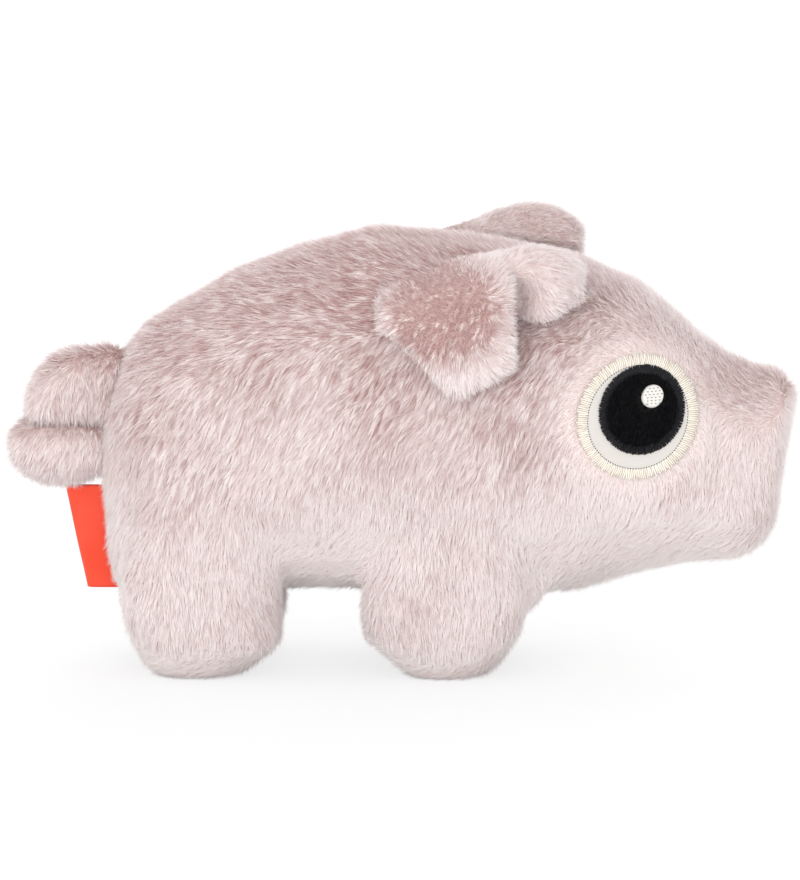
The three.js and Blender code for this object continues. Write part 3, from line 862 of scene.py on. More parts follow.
class PileTree(Growth):
    """The tree that grows spikes of pile on a skin.

    The skin holds, at each point: nap, the way the pile lies; lie, from 0 where it stands up to 1
    where it lies down; cover, the share of the spikes that grow; reach, the share of their length;
    tone, from 0 where they are pale to 1 where they are rosy.
    """

    def __init__(self, tufts: Tufts) -> None:
        """Starts the tree, with an input for each value that a pile gives.

        Args:
            tufts: How the spikes gather and vary.
        """
        sizes = ("Density", "Length", "Width", "Ridge", "Lean", "Wave", "Clump")
        super().__init__("plush pile", (), sizes)
        self.tufts = tufts
        self.place = self.position()
        self.normal = self.held("skin_normal", "FLOAT_VECTOR")
        self.sweep = self.drift(self.place, mm(tufts.sweep), self.given("Wave"))
        self.stroked = self.drawn_together()
        self.tuft = self.noise(self.stroked, mm(tufts.tuft), "Fac")

    def drawn_together(self) -> Socket:
        """Draws the skin together along the tufts, which draws out a pattern there.

        Returns:
            The place at which the tufts' patterns are read.
        """
        stroke = self.tufts.stroke
        run = self.vector("DOT_PRODUCT", self.place, stroke).node.outputs["Value"]
        shorter = self.scaled(stroke, self.times(run, -self.tufts.stroke_share))
        together = self.vector("ADD", self.place, shorter)
        return self.vector("ADD", together, self.scaled(self.sweep, mm(self.tufts.stretch)))

    def growth(self) -> Socket:
        """Leans a spike over, from upright to the way the pile lies there.

        Returns:
            The way the spike grows, at length one.
        """
        way = self.vector("ADD", self.held("nap", "FLOAT_VECTOR"), self.sweep)
        clump = self.drift(self.stroked, mm(self.tufts.clump), self.given("Clump"))
        way = self.vector("ADD", way, clump)
        stray = self.tufts.stray
        limits = {"Min": (-stray,) * 3, "Max": (stray,) * 3, "Seed": self.given("Seed")}
        own = self.out("FunctionNodeRandomValue", {"data_type": "FLOAT_VECTOR"}, limits)
        way = self.vector("ADD", way, own)
        outward = self.vector("DOT_PRODUCT", way, self.normal).node.outputs["Value"]
        inward = self.scaled(self.normal, outward)
        flat = self.vector("NORMALIZE", self.vector("SUBTRACT", way, inward))
        lean = self.times(self.given("Lean"), self.held("lie"))
        lean = self.plus(lean, self.chance(*self.tufts.lean, 1))
        upright = self.scaled(self.normal, self.sum("COSINE", lean))
        return self.vector("ADD", upright, self.scaled(flat, self.sum("SINE", lean)))

    def size(self) -> Socket:
        """Sizes a spike, longest in the middle of a tuft.

        Returns:
            How deep, wide and long it is.
        """
        long = self.times(self.given("Length"), self.chance(*self.tufts.length, 2))
        long = self.times(long, self.held("reach"))
        tufted = self.sum("MULTIPLY_ADD", self.tuft, *self.tufts.tuft_length)
        long = self.times(long, tufted)
        wide = self.times(self.given("Width"), self.chance(*self.tufts.width, 3))
        return self.axes(X=self.given("Ridge"), Y=wide, Z=long)

    def tone(self) -> Socket:
        """Colours a spike, rosier where the pile is swept up, and darker between the tufts as
        painted shade.

        Returns:
            Its tone.
        """
        lifted = self.vector("DOT_PRODUCT", self.sweep, self.tufts.lifted_way).node.outputs["Value"]
        tone = self.sum("MULTIPLY_ADD", lifted, self.tufts.lifted_tone, self.held("tone"))
        # Painted shade: the spikes between the tufts are darker.
        shade_between_tufts = self.sum("SUBTRACT", 0.5, self.tuft)
        ruffle = self.sum("MULTIPLY_ADD", self.held("tone"), *self.tufts.ruffle)
        return self.sum("MULTIPLY_ADD", shade_between_tufts, ruffle, tone)

    def spike(self) -> Socket:
        """Makes one spike, a cone that holds how far along itself each of its points is.

        Returns:
            The spike.
        """
        sizes = {"Vertices": 3, "Radius Top": 0.0, "Radius Bottom": 0.5, "Depth": 1.0}
        cone = self.out("GeometryNodeMeshCone", {}, sizes)
        return self.kept(cone, "along", self.part(self.place, "Z"), "FLOAT", "POINT")

    def build(self) -> Tree:
        """Spreads the spikes over the skin and ends the tree.

        Returns:
            The geometry tree.
        """
        density = self.times(self.given("Density"), self.held("cover"))
        spread = self.add(
            "GeometryNodeDistributePointsOnFaces",
            {"distribute_method": "RANDOM"},
            {"Mesh": self.given("Geometry"), "Density": density, "Seed": self.given("Seed")},
        )
        points, normal = spread.outputs["Points"], spread.outputs["Normal"]
        points = self.kept(points, "skin_normal", normal, "FLOAT_VECTOR", "POINT")
        axes = {"primary_axis": "Z", "secondary_axis": "X"}
        turn = self.out("FunctionNodeAxesToRotation", axes, {0: self.growth(), 1: self.normal})
        points = self.kept(points, "tint", self.chance(0.0, 1.0, 4), "FLOAT", "POINT")
        points = self.kept(points, "tone", self.tone(), "FLOAT", "POINT")
        points = self.moved(points, self.scaled(self.normal, -mm(self.tufts.sunk)))
        spike = {"Instance": self.spike(), "Rotation": turn, "Scale": self.size()}
        return self.finish(self.out("GeometryNodeInstanceOnPoints", {}, {"Points": points} | spike))


def thread_of(tree: Growth, length: Any, rise: Any) -> Socket:
    """One stitch along X as a thin arched tube, with its ends sunk in the cloth.

    Args:
        tree: The tree that the stitch is made in.
        length: The stitch's length.
        rise: How high its middle stands.

    Returns:
        The stitch's geometry.
    """
    dip = tree.times(rise, THREAD_DIP)
    start, end = (tree.axes(X=tree.times(length, x), Z=dip) for x in (-0.5, 0.5))
    top = tree.axes(Z=tree.times(rise, THREAD_ARCH))
    bend = {"Resolution": 5, "Start": start, "Middle": top, "End": end}
    line = tree.out("GeometryNodeCurveQuadraticBezier", {}, bend)
    radius = tree.times(tree.given("Thickness"), 0.5)
    ring = tree.out("GeometryNodeCurvePrimitiveCircle", {}, {"Resolution": 5, "Radius": radius})
    inputs = {"Curve": line, "Profile Curve": ring, "Fill Caps": True}
    return tree.out("GeometryNodeCurveToMesh", {}, inputs)


def sewn(tree: Growth, points: Any, stitch: Any, inputs: Named) -> Tree:
    """Sets a stitch on each point, with a tint of its own, and ends the tree.

    Args:
        tree: The tree that is being put together.
        points: The points that the stitches stand on.
        stitch: One stitch.
        inputs: What else the stitches are given, such as their turn.

    Returns:
        The finished tree.
    """
    inputs = {"Points": points, "Instance": stitch} | inputs
    stitches = tree.out("GeometryNodeInstanceOnPoints", {}, inputs)
    tint = tree.chance(0.0, 1.0, 5)
    return tree.finish(tree.kept(stitches, "tint", tint, "FLOAT", "INSTANCE"))


def satin_ring_tree() -> Tree:
    """The tree of satin stitch round a disc: threads side by side, each pointing at the middle.

    Returns:
        The geometry tree.
    """
    sizes = ("Radius", "Length", "Thickness", "Rise", "Fray", "Slant")
    tree = Growth("satin ring", ["Count"], sizes)
    place = tree.position()
    longer = tree.sum("MULTIPLY_ADD", tree.given("Fray"), tree.chance(*FRAYED, 1), 1.0)
    half = tree.times(tree.given("Length"), 0.5)
    outward = tree.times(half, tree.sum("SUBTRACT", longer, 1.0))
    ring = tree.moved(tree.circle(), tree.scaled(tree.vector("NORMALIZE", place), outward))
    angle = tree.sum("ARCTAN2", tree.part(place, "Y"), tree.part(place, "X"))
    slant = tree.times(tree.given("Slant"), tree.chance(-1.0, 1.0, 2))
    turn = tree.axes(Z=tree.plus(angle, slant))
    stitch = thread_of(tree, tree.given("Length"), tree.given("Rise"))
    return sewn(tree, ring, stitch, {"Rotation": turn, "Scale": tree.axes(X=longer, Y=1.0, Z=1.0)})


def stitch_fill_tree() -> Tree:
    """The tree of fill stitch in an oval: rows of short stitches, each row half a stitch along.

    Returns:
        The geometry tree.
    """
    sizes = ("Wide", "Tall", "Length", "Share", "Pitch", "Thickness", "Rise")
    tree = Growth("fill stitch", (), sizes)
    columns = tree.sum("CEIL", tree.sum("DIVIDE", tree.given("Wide"), tree.given("Length")))
    rows = tree.sum("CEIL", tree.sum("DIVIDE", tree.given("Tall"), tree.given("Pitch")))
    span = tree.times(columns, tree.given("Length"))
    fall = tree.times(rows, tree.given("Pitch"))
    sizes = {
        "Size X": span,
        "Size Y": fall,
        "Vertices X": tree.plus(columns, 1.0),
        "Vertices Y": tree.plus(rows, 1.0),
    }
    net = tree.out("GeometryNodeMeshGrid", {}, sizes)
    place = tree.position()
    x, y = tree.part(place, "X"), tree.part(place, "Y")
    row = tree.sum("ROUND", tree.sum("DIVIDE", y, tree.given("Pitch")))
    odd = tree.sum("FLOORED_MODULO", row, 2.0)
    along = tree.times(tree.times(odd, 0.5), tree.given("Length"))
    net = tree.moved(net, tree.axes(X=along))
    x = tree.sum("DIVIDE", x, tree.times(tree.given("Wide"), 0.5))
    y = tree.sum("DIVIDE", y, tree.times(tree.given("Tall"), 0.5))
    radius = tree.plus(tree.times(x, x), tree.times(y, y))
    inside = tree.sum("LESS_THAN", radius, 1.0)
    length = tree.times(tree.given("Length"), tree.given("Share"))
    stitch = thread_of(tree, length, tree.given("Rise"))
    return sewn(tree, net, stitch, {"Selection": inside})


def bead_ring_tree() -> Tree:
    """The tree of needle holes: small round dimples at even steps round a circle.

    Returns:
        The geometry tree.
    """
    tree = Growth("needle holes", ["Count"], ("Radius", "Size"))
    sizes = {"Radius": tree.given("Size"), "Subdivisions": 1}
    bead = tree.out("GeometryNodeMeshIcoSphere", {}, sizes)
    return sewn(tree, tree.circle(), bead, {})


class Skin:
    """A plush surface and the way its pile lies."""

    def __init__(self, piece: Piece) -> None:
        """Starts with pile that hangs down everywhere.

        Args:
            piece: The object with the plush surface.
        """
        self.piece = piece
        self.points = points_of(piece.data)
        self.normals = normals_of(piece.data)
        count = len(self.points)
        self.nap = np.tile(-UP, (count, 1))
        self.lie = np.ones(count)
        self.cover = np.ones(count)
        self.reach = np.ones(count)
        self.tone = np.zeros(count)

    def settle(self) -> None:
        """Stores on the mesh how the pile lies."""
        mesh = self.piece.data
        for name in ("lie", "cover", "reach", "tone"):
            values = getattr(self, name).astype(np.float32)
            mesh.attributes.new(name, "FLOAT", "POINT").data.foreach_set("value", values)
        longest = np.maximum(np.linalg.norm(self.nap, axis=1, keepdims=True), 1.0)
        nap = mesh.attributes.new("nap", "FLOAT_VECTOR", "POINT")
        nap.data.foreach_set("vector", (self.nap / longest).astype(np.float32).ravel())

    def panels(self, density: float) -> list[Array]:
        """The skin's faces in groups, from rear to front, each with a piece's worth of pile.

        Args:
            density: Spikes per square metre.

        Returns:
            The numbers of the faces of each group.
        """
        mesh = self.piece.data
        areas = values_of(mesh.polygons, "area")
        order = np.argsort(values_of(mesh.polygons, "center", 3)[:, 0], kind="stable")
        total = float(areas.sum()) * density * SPIKE_POINTS
        parts = math.ceil(total / LAST_TRIANGLES)
        running = np.cumsum(areas[order])
        return [
            order[(running > running[-1] * k / parts) & (running <= running[-1] * (k + 1) / parts)]
            for k in range(parts)
        ]

    def panel(self, faces: Array) -> Piece:
        """A helper with a copy of some of the skin's faces.

        Args:
            faces: The faces' numbers.

        Returns:
            The helper.
        """
        part = bmesh.new()
        part.from_mesh(self.piece.data)
        part.faces.ensure_lookup_table()
        kept = np.zeros(len(part.faces), bool)
        kept[faces] = True
        rest = [part.faces[int(k)] for k in np.flatnonzero(~kept)]
        bmesh.ops.delete(part, geom=rest, context="FACES")
        mesh = bpy.data.meshes.new("panel")
        part.to_mesh(mesh)
        part.free()
        return placed("panel", mesh)


def covered(skin: Skin, backing: Material, nodes: Sequence[str]) -> None:
    """Gives a skin the plush's backing and puts it in place of nodes of the frame.

    Args:
        skin: The skin.
        backing: The backing's material.
        nodes: The nodes' names.
    """
    skin.piece.data.materials.append(backing)
    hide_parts(*nodes)
    LOG.info("%s: %d faces", skin.piece.name, len(skin.piece.data.polygons))


@dataclass
class Furrier:
    """Grows the pile on each skin and combs it.

    Softness is how far the light on a spike follows the skin, and least_shown how far it at least
    follows the spike's own face. Blocks and the values after it lay out the spikes' map. No pile
    reaches lower than the sole, in millimetres.
    """

    pile_finish: Material
    tree: Tree
    softness: float = 0.72
    least_shown: float = 0.4
    blocks: int = 32
    block_edge: float = 0.1
    root_inset: float = 0.1
    root_half: float = 0.07
    sole: float = 0.02
    grown_so_far: int = 0

    def grow(
        self, skin: Skin, pile: Pile, name: str, body: str | None, slot: str = "plush"
    ) -> list[Piece]:
        """Grows pile on a skin.

        Args:
            skin: The skin, already settled.
            pile: How the pile grows.
            name: What the pieces are called, before their number.
            body: The body that the pieces ride on, or None, which leaves them on none.
            slot: The name of a material slot; not used.

        Returns:
            The pieces of pile.
        """
        made = []
        panels = skin.panels(pile.density * 1e6)
        for number, faces in enumerate(panels, 1):
            self.grown_so_far += 1
            values = pile.values(self.pile_finish, 31 * self.grown_so_far)
            title = name if len(panels) == 1 else f"{name}_{number}"
            piece = grown(skin.panel(faces), self.tree, values, title)
            self.comb(piece.data)
            if body:
                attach(piece, body)
            LOG.info("%s: %d spikes", title, len(piece.data.vertices) // SPIKE_POINTS)
            made.append(piece)
        return made

    def comb(self, mesh: Mesh) -> None:
        """Keeps the spikes off the floor, softens how light falls on them and lays out their map.

        Args:
            mesh: The spikes.
        """
        points = points_of(mesh).reshape(-1, SPIKE_POINTS, 3)
        points[:, :, 2] = np.maximum(points[:, :, 2], mm(self.sole))
        move_points(mesh, points.reshape(-1, 3))
        along = values_of(mesh.attributes["along"].data, "value").reshape(-1, SPIKE_POINTS)
        skin = values_of(mesh.attributes["skin_normal"].data, "vector", 3)
        for name in ("skin_normal", "nap", "lie", "cover", "reach"):
            mesh.attributes.remove(mesh.attributes[name])
        faces = values_of(mesh.loops, "vertex_index", 1, np.int32).reshape(-1, 3)
        mesh.shade_smooth()
        facing = self.facing(points, along, unit(skin), faces)
        mesh.normals_split_custom_set(facing.reshape(-1, 3).astype(np.float32))
        self.lay_out(mesh, points, along, faces)

    def facing(self, points: Array, along: Array, skin: Array, faces: Array) -> Array:
        """The direction that light finds at each corner of the spikes' faces.

        It lies between the spike's own and the skin's, which hides the single spikes, but never
        turns away from the side that the face shows, which would leave it black.

        Args:
            points: The spikes' points, spike by spike.
            along: 0 at each root and 1 at each tip.
            skin: The skin's direction at each point.
            faces: The points of each face.

        Returns:
            Three directions for each face.
        """
        roots = along < 0.5
        middle = (points * roots[:, :, None]).sum(1, keepdims=True) / roots.sum(1)[:, None, None]
        outward = (unit(points - middle) * roots[:, :, None]).reshape(-1, 3)
        corner = points.reshape(-1, 3)[faces]
        face = unit(np.cross(corner[:, 1] - corner[:, 0], corner[:, 2] - corner[:, 0]))[:, None, :]
        own = np.where(roots.ravel()[faces][:, :, None], outward[faces], face)
        mixed = unit(self.softness * skin[faces] + (1 - self.softness) * own)
        shown = (mixed * face).sum(2, keepdims=True)
        return unit(mixed + np.maximum(self.least_shown - shown, 0) * face)

    def lay_out(self, mesh: Mesh, points: Array, along: Array, faces: Array) -> None:
        """Gives the spikes a map named OFBake.

        The map is a square of blocks, one for each patch of the skin. In a block a spike stands
        upright, with its root low and its tip high, at the place across that its tint gives.

        Args:
            mesh: The spikes.
            points: Their points, spike by spike.
            along: 0 at each root and 1 at each tip.
            faces: The points of each face.
        """
        roots = points.mean(1)
        spans = np.ptp(roots, axis=0)
        columns, rows = np.sort(np.argsort(spans)[1:])
        cell = []
        for axis in (columns, rows):
            share = (roots[:, axis] - roots[:, axis].min()) / max(spans[axis], mm(1))
            cell.append(np.minimum((share * self.blocks).astype(int), self.blocks - 1))
        tint = values_of(mesh.attributes["tint"].data, "value").reshape(-1, SPIKE_POINTS)[:, 0]
        edge, inset = self.block_edge, self.root_inset
        across = edge + (1 - 2 * edge) * (inset + (1 - 2 * inset) * tint)
        spike = faces // SPIKE_POINTS
        high = along.ravel()[faces]
        has_tip = high.max(1) > 0.5
        turn = np.argmax(high, axis=1)
        step = (np.arange(3)[None, :] - turn[:, None]) % 3
        side = np.choose(step, [0.0, -self.root_half, self.root_half])
        low_tip = np.where(has_tip[:, None], 1 - edge, edge + inset)
        v = np.where(step == 0, low_tip, edge)
        u = across[spike] + side
        uv = np.stack([(cell[0][spike] + u) / self.blocks, (cell[1][spike] + v) / self.blocks], -1)
        layer = mesh.uv_layers.new(name="OFBake")
        layer.uv.foreach_set("vector", uv.astype(np.float32).ravel())


# The stuffed body


@dataclass
class StuffedBody:
    """Trunk, head, four legs and snout under one plush skin with soft filling in it.

    Each span from face to nose says where along the pig or up it a change of shape or pile sets in,
    and where it is full. Each from curved to lowest says the same for the slope of the skin. The
    tone is the trunk's pile on its flank, and what it gains on top and high on the back: partly the
    pile's rosier colour and partly painted shade; the head's is paler in both. The belly is paler
    as painted light. Each shaded spot is a place forward and up, its size, and how rosy it is; the
    spots are mostly painted shade, under and behind the ears, in dents by the snout's seam and in a
    crease above a rear foot.
    """

    furrier: Furrier
    backing: Material
    voxel: float = 1.7
    rounds: int = 22
    sunk: float = 0.9
    slimmer: float = 1.0
    brow: Place = (65.0, 9.0, 1.4)
    face: Span = (50.0, 78.0)
    neck: Span = (15.0, 50.0)
    back: Span = (30.0, 80.0)
    flank: Span = (25.0, 60.0)
    nose: Span = (80.0, 92.0)
    foot_rounding: float = 5.0
    foot_height: float = 14.0
    foot_rim: Span = (0.35, 1.15)
    foot_reach: float = 1.3
    slant: float = 0.62
    splay: float = 0.3
    fall: float = 0.9
    curved: Span = (0.2, 0.7)
    level: Span = (0.25, 0.8)
    topmost: Span = (0.0, 0.9)
    lowest: Span = (0.1, 0.8)
    tone: Span = (0.1, 0.42)
    head_paler: Span = (0.12, 0.17)
    # Rosier high on the back: partly the pile's colour, partly painted shade.
    back_rosier: float = 0.12
    # Painted light: the faces that look down are paler.
    belly_paler: float = 0.2
    nostril_gap: float = 0.3
    nostril_bare: float = 0.85
    nostril_short: float = 1.5
    nostril_reach: float = 0.6
    weave: float = 5.0
    weave_rounds: int = 4
    seam_half: float = 0.6
    pressure: float = 140.0
    frames: int = 20
    give: float = 1.5
    near_points: int = 6
    chest: Sequence[Bulge] = (
        ((36, 11, 30), (14, 12, 10)),
        ((36, -11, 30), (14, 12, 10)),
        ((30, 16, 26), (9.5, 10, 10)),
        ((30, -16, 26), (9.5, 10, 10)),
    )
    lump_size: float = 24.0
    lump_height: float = 1.6
    # Darker, rosier spots, mostly painted shade: under and behind the ears, in dents by the snout's
    # seam, in a crease above a foot.
    blushes: tuple[tuple[Span, float, float], ...] = (
        ((27, 80), 16, 0.35),
        ((-5, 79), 12, 0.15),
        ((42, 91), 9, 0.26),
        ((56, 97), 10, 0.1),
        ((-36, 15), 6, 0.15),
        ((50, 92), 12, 0.18),
        ((-64, 66), 9, 0.2),
        ((92, 76), 9, 0.32),
        ((92, 42), 7, 0.3),
        ((38, 60), 12, 0.27),
        ((-3, 71), 10, 0.2),
        ((-8, 99), 8, 0.35),
        ((-33, 81), 12, 0.17),
        ((73, 51), 11, 0.2),
        ((-53, 56), 10, 0.15),
    )
    pile: Pile = Pile()

    def nodes(self) -> list[str]:
        """The frame's nodes that the plush skin stands for."""
        starts = ("body_", "head_", "leg_", "snout_")
        return [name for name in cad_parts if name.startswith(starts)]

    def skin(self) -> Skin:
        """Makes the skin, a little inside the solids, because the pile stands on it.

        Returns:
            The skin.
        """
        piece = remeshed("plush_cover", merged(self.nodes(), self.chest), mm(self.voxel))
        relaxed(piece.data, self.rounds)
        points = self.round_feet(points_of(piece.data))
        move_points(piece.data, points)
        normals = normals_of(piece.data)
        rise = lumps(points, mm(self.lump_size), mm(self.lump_height), 3.0)
        rise += self.filled_out(points) - mm(self.sunk)
        face = rising(points[:, 0], self.face)
        rise -= mm(self.slimmer) * face * smooth(np.abs(normals[:, 2]), *self.curved)
        place, size, height = self.brow
        near = np.exp(-(((points[:, 0] - mm(place)) / mm(size)) ** 2))
        rise += mm(height) * near * smooth(normals[:, 2], *self.curved)
        move_points(piece.data, points + rise[:, None] * normals)
        piece.data.shade_smooth()
        return Skin(piece)

    def round_feet(self, points: Array) -> Array:
        """Draws up the rim of each sole, as loose filling leaves it.

        Args:
            points: The skin's points.

        Returns:
            The points, moved.
        """
        for name in self.nodes():
            if name.startswith("leg_") and name.endswith("_cover"):
                low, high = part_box(name)
                middle, half = (low + high) / 2, (high - low) / 2
                across = (points[:, :2] - np.array(middle[:2])) / np.array(half[:2])
                out = np.linalg.norm(across, axis=1)
                share = np.where(out < self.foot_reach, smooth(out, *self.foot_rim), 0)
                near_floor = 1 - rising(points[:, 2], (0, self.foot_height))
                points[:, 2] += mm(self.foot_rounding) * share * near_floor
        return points

    def filled_out(self, points: Array) -> Array:
        """How far the filling pushes the skin out at each point, from a cloth simulation.

        A coarse copy of the skin is blown up like a cushion while the seam that runs round the
        body between its two sides is held, and the skin takes over what moved.

        Args:
            points: The skin's points.

        Returns:
            The rise at each point, in metres.
        """
        helper = remeshed("cloth_helper", merged(self.nodes()), mm(self.weave))
        relaxed(helper.data, self.weave_rounds)
        start, out = points_of(helper.data), normals_of(helper.data)
        held = helper.vertex_groups.new(name="seam")
        at_seam = np.abs(start[:, 1]) < mm(self.weave) * self.seam_half
        held.add([int(k) for k in np.flatnonzero(at_seam)], 1.0, "REPLACE")
        cloth = helper.modifiers.new("filling", "CLOTH")
        cloth.settings.use_pressure = True
        cloth.settings.uniform_pressure_force = self.pressure
        cloth.settings.vertex_group_mass = held.name
        cloth.settings.effector_weights.gravity = 0
        for number in range(1, self.frames + 1):
            bpy.context.scene.frame_set(number)
        graph = bpy.context.evaluated_depsgraph_get()
        blown = helper.evaluated_get(graph)
        moved = ((points_of(blown.to_mesh()) - start) * out).sum(1)
        blown.to_mesh_clear()
        bpy.context.scene.frame_set(1)
        discard(helper)
        least, most = np.percentile(moved, (5, 95)) * 1000
        LOG.info("filling: %d points moved %.2f to %.2f mm", len(start), least, most)
        moved = np.clip(moved - np.median(moved), -mm(self.give), mm(self.give))
        tree = KDTree(len(start))
        for number, place in enumerate(start):
            tree.insert(place, number)
        tree.balance()
        rise = np.empty(len(points))
        for number, place in enumerate(points):
            near = tree.find_n(place, self.near_points)
            weights = np.array([1 / (distance + mm(1)) ** 2 for *_, distance in near])
            rise[number] = (weights * moved[[index for _, index, _ in near]]).sum() / weights.sum()
        return rise

    def lay_pile(self, skin: Skin, eyes: Sequence["Eye"]) -> None:
        """Combs the pile back and down, rosier on top partly as painted shade, and clears it from
        eyes and nostrils.

        Args:
            skin: The skin.
            eyes: The two eyes.
        """
        x, y, z = skin.points.T
        up = skin.normals[:, 2]
        level = smooth(np.abs(up), *self.level)
        slant = self.slant * rising(z, self.back)
        slant *= 1 - rising(x, self.nose)
        skin.nap = np.stack([-slant - level, self.splay * np.sign(y), level - self.fall], -1)
        head = rising(x, self.neck)
        flank, top = (tone - less * head for tone, less in zip(self.tone, self.head_paler))
        # Rosier on top and high on the back: partly the pile's own colour, partly painted shade
        # where less light falls.
        skin.tone = flank + top * smooth(up, *self.topmost)
        skin.tone += self.back_rosier * rising(z, self.flank) * (1 - head)
        # Paler on the faces that look down: painted light on the belly.
        skin.tone -= self.belly_paler * smooth(-up, *self.lowest)
        # Painted shade: darker, rosier spots where shade falls.
        for (forward, high), size, deeper in self.blushes:
            place = skin.points[:, [0, 2]] - np.array((mm(forward), mm(high)))
            skin.tone += deeper * np.exp(-((np.linalg.norm(place, axis=1) / mm(size)) ** 2))
        for eye in eyes:
            eye.part_pile(skin)
        for side in Side:
            low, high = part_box(f"nostril_{side.label}")
            place, half = np.array((low + high) / 2), np.array((high - low) / 2)
            away = (skin.points[:, 1:] - place[1:]) / (half[1:] + mm(self.nostril_gap))
            away = np.where(x > mm(self.nose[0]), np.linalg.norm(away, axis=1), math.inf)
            skin.cover[away < self.nostril_bare] = 0
            skin.reach *= np.where(away < self.nostril_short, self.nostril_reach, 1.0)
        skin.settle()

    def build(self, eyes: Sequence["Eye"]) -> Skin:
        """Makes the skin and its pile.

        Args:
            eyes: The two eyes, which the pile keeps clear of.

        Returns:
            The skin, for the pieces that lie on it.
        """
        skin = self.skin()
        for eye in eyes:
            eye.rest_on(skin)
        self.lay_pile(skin, eyes)
        covered(skin, self.backing, self.nodes())
        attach(skin.piece, "stuffed_body")
        self.furrier.grow(skin, self.pile, "body_pile", "stuffed_body")
        return skin


# Eyes


@dataclass(frozen=True)
class Embroidery:
    """The trees and the finishes that sewn details share."""

    ring: Tree
    fill: Tree
    holes: Tree
    cream: Material
    white: Material
    black: Material
    pink: Material
    # The underlay thread is darker than the cream: painted shade in the gaps between the satin
    # stitches.
    under: Material
    # The dark brown of the needle holes and of the highlight's marks: painted shade.
    shadow: Material


def felt_disc(radius: float, low: float, high: float, edge: float) -> tuple[Array, list[list[int]]]:
    """A flat disc with a rounded rim, closed all round.

    Args:
        radius: The disc's radius.
        low: The height of its underside.
        high: The height of its face.
        edge: How far in from the rim the rounding reaches.

    Returns:
        The points and the faces.
    """
    around = 96
    turns = np.linspace(0, 2 * math.pi, around, endpoint=False)
    circle = np.stack([np.cos(turns), np.sin(turns)], -1)
    inner = [radius * share for share in (0.2, 0.4, 0.6, 0.75, 0.87)]
    rim = [radius - edge * (1 - math.sin(a)) for a in np.radians((0, 20, 40, 60, 78, 90))]
    rings = [(r, high) for r in inner if r < rim[0]]
    rounded = [math.sqrt(max(1 - ((r - rim[0]) / edge) ** 2, 0)) for r in rim]
    rings += [(r, low + (high - low) * share) for r, share in zip(rim, rounded)]
    rings += [(radius * share, low) for share in (0.66, 0.33)]
    points = [(0, 0, high)] + [(*(r * c), z) for r, z in rings for c in circle] + [(0, 0, low)]
    faces = []
    last = len(points) - 1
    for k in range(around):
        n = (k + 1) % around
        faces.append([0, 1 + k, 1 + n])
        for row in range(len(rings) - 1):
            a = 1 + row * around
            faces.append([a + k, a + around + k, a + around + n, a + n])
        a = 1 + (len(rings) - 1) * around
        faces.append([a + k, last, a + n])
    return np.array(points), faces


@dataclass(frozen=True)
class Satin:
    """A ring of satin stitch: its size, its place on the eye, and its thread.

    Fray is how much longer than the others the longest stitches are, as a share. Slant is the most
    that a stitch turns away from the middle, in radians.
    """

    radius: float
    wide: float
    shift: Span
    thread: float
    pitch: float
    fray: float
    rise: float = 0.3
    slant: float = 0.12

    def sew(self, tree: Tree, look: Material, name: str) -> Piece:
        """Sews the ring flat, even at its inner edge.

        Args:
            tree: The tree of satin stitch.
            look: The thread's material.
            name: The new object's name.

        Returns:
            The ring, round the middle of the scene.
        """
        values = {
            "Count": round(2 * math.pi * self.radius / self.pitch),
            "Radius": mm(self.radius - self.wide / 2),
            "Length": mm(self.wide),
            "Thickness": mm(self.thread),
            "Rise": mm(self.rise),
            "Fray": self.fray,
            "Slant": self.slant,
            "Seed": 17,
            "Finish": look,
        }
        return sprouted(tree, values, name)


@dataclass(frozen=True)
class Fill:
    """An oval of fill stitch: its size, the stitches' length, pitch and thread, and their share.

    The share is how much of its length each stitch fills.
    """

    wide: float
    tall: float
    length: float
    pitch: float
    thread: float
    rise: float
    share: float
    seed: int

    def sew(self, tree: Tree, look: Material, name: str) -> Piece:
        """Sews the oval flat.

        Args:
            tree: The tree of fill stitch.
            look: The thread's material.
            name: The new object's name.

        Returns:
            The oval, round the middle of the scene.
        """
        values = {"Wide": mm(self.wide), "Tall": mm(self.tall), "Length": mm(self.length)}
        values |= {"Share": self.share, "Pitch": mm(self.pitch), "Thickness": mm(self.thread)}
        values |= {"Rise": mm(self.rise), "Seed": self.seed, "Finish": look}
        return sprouted(tree, values, name)


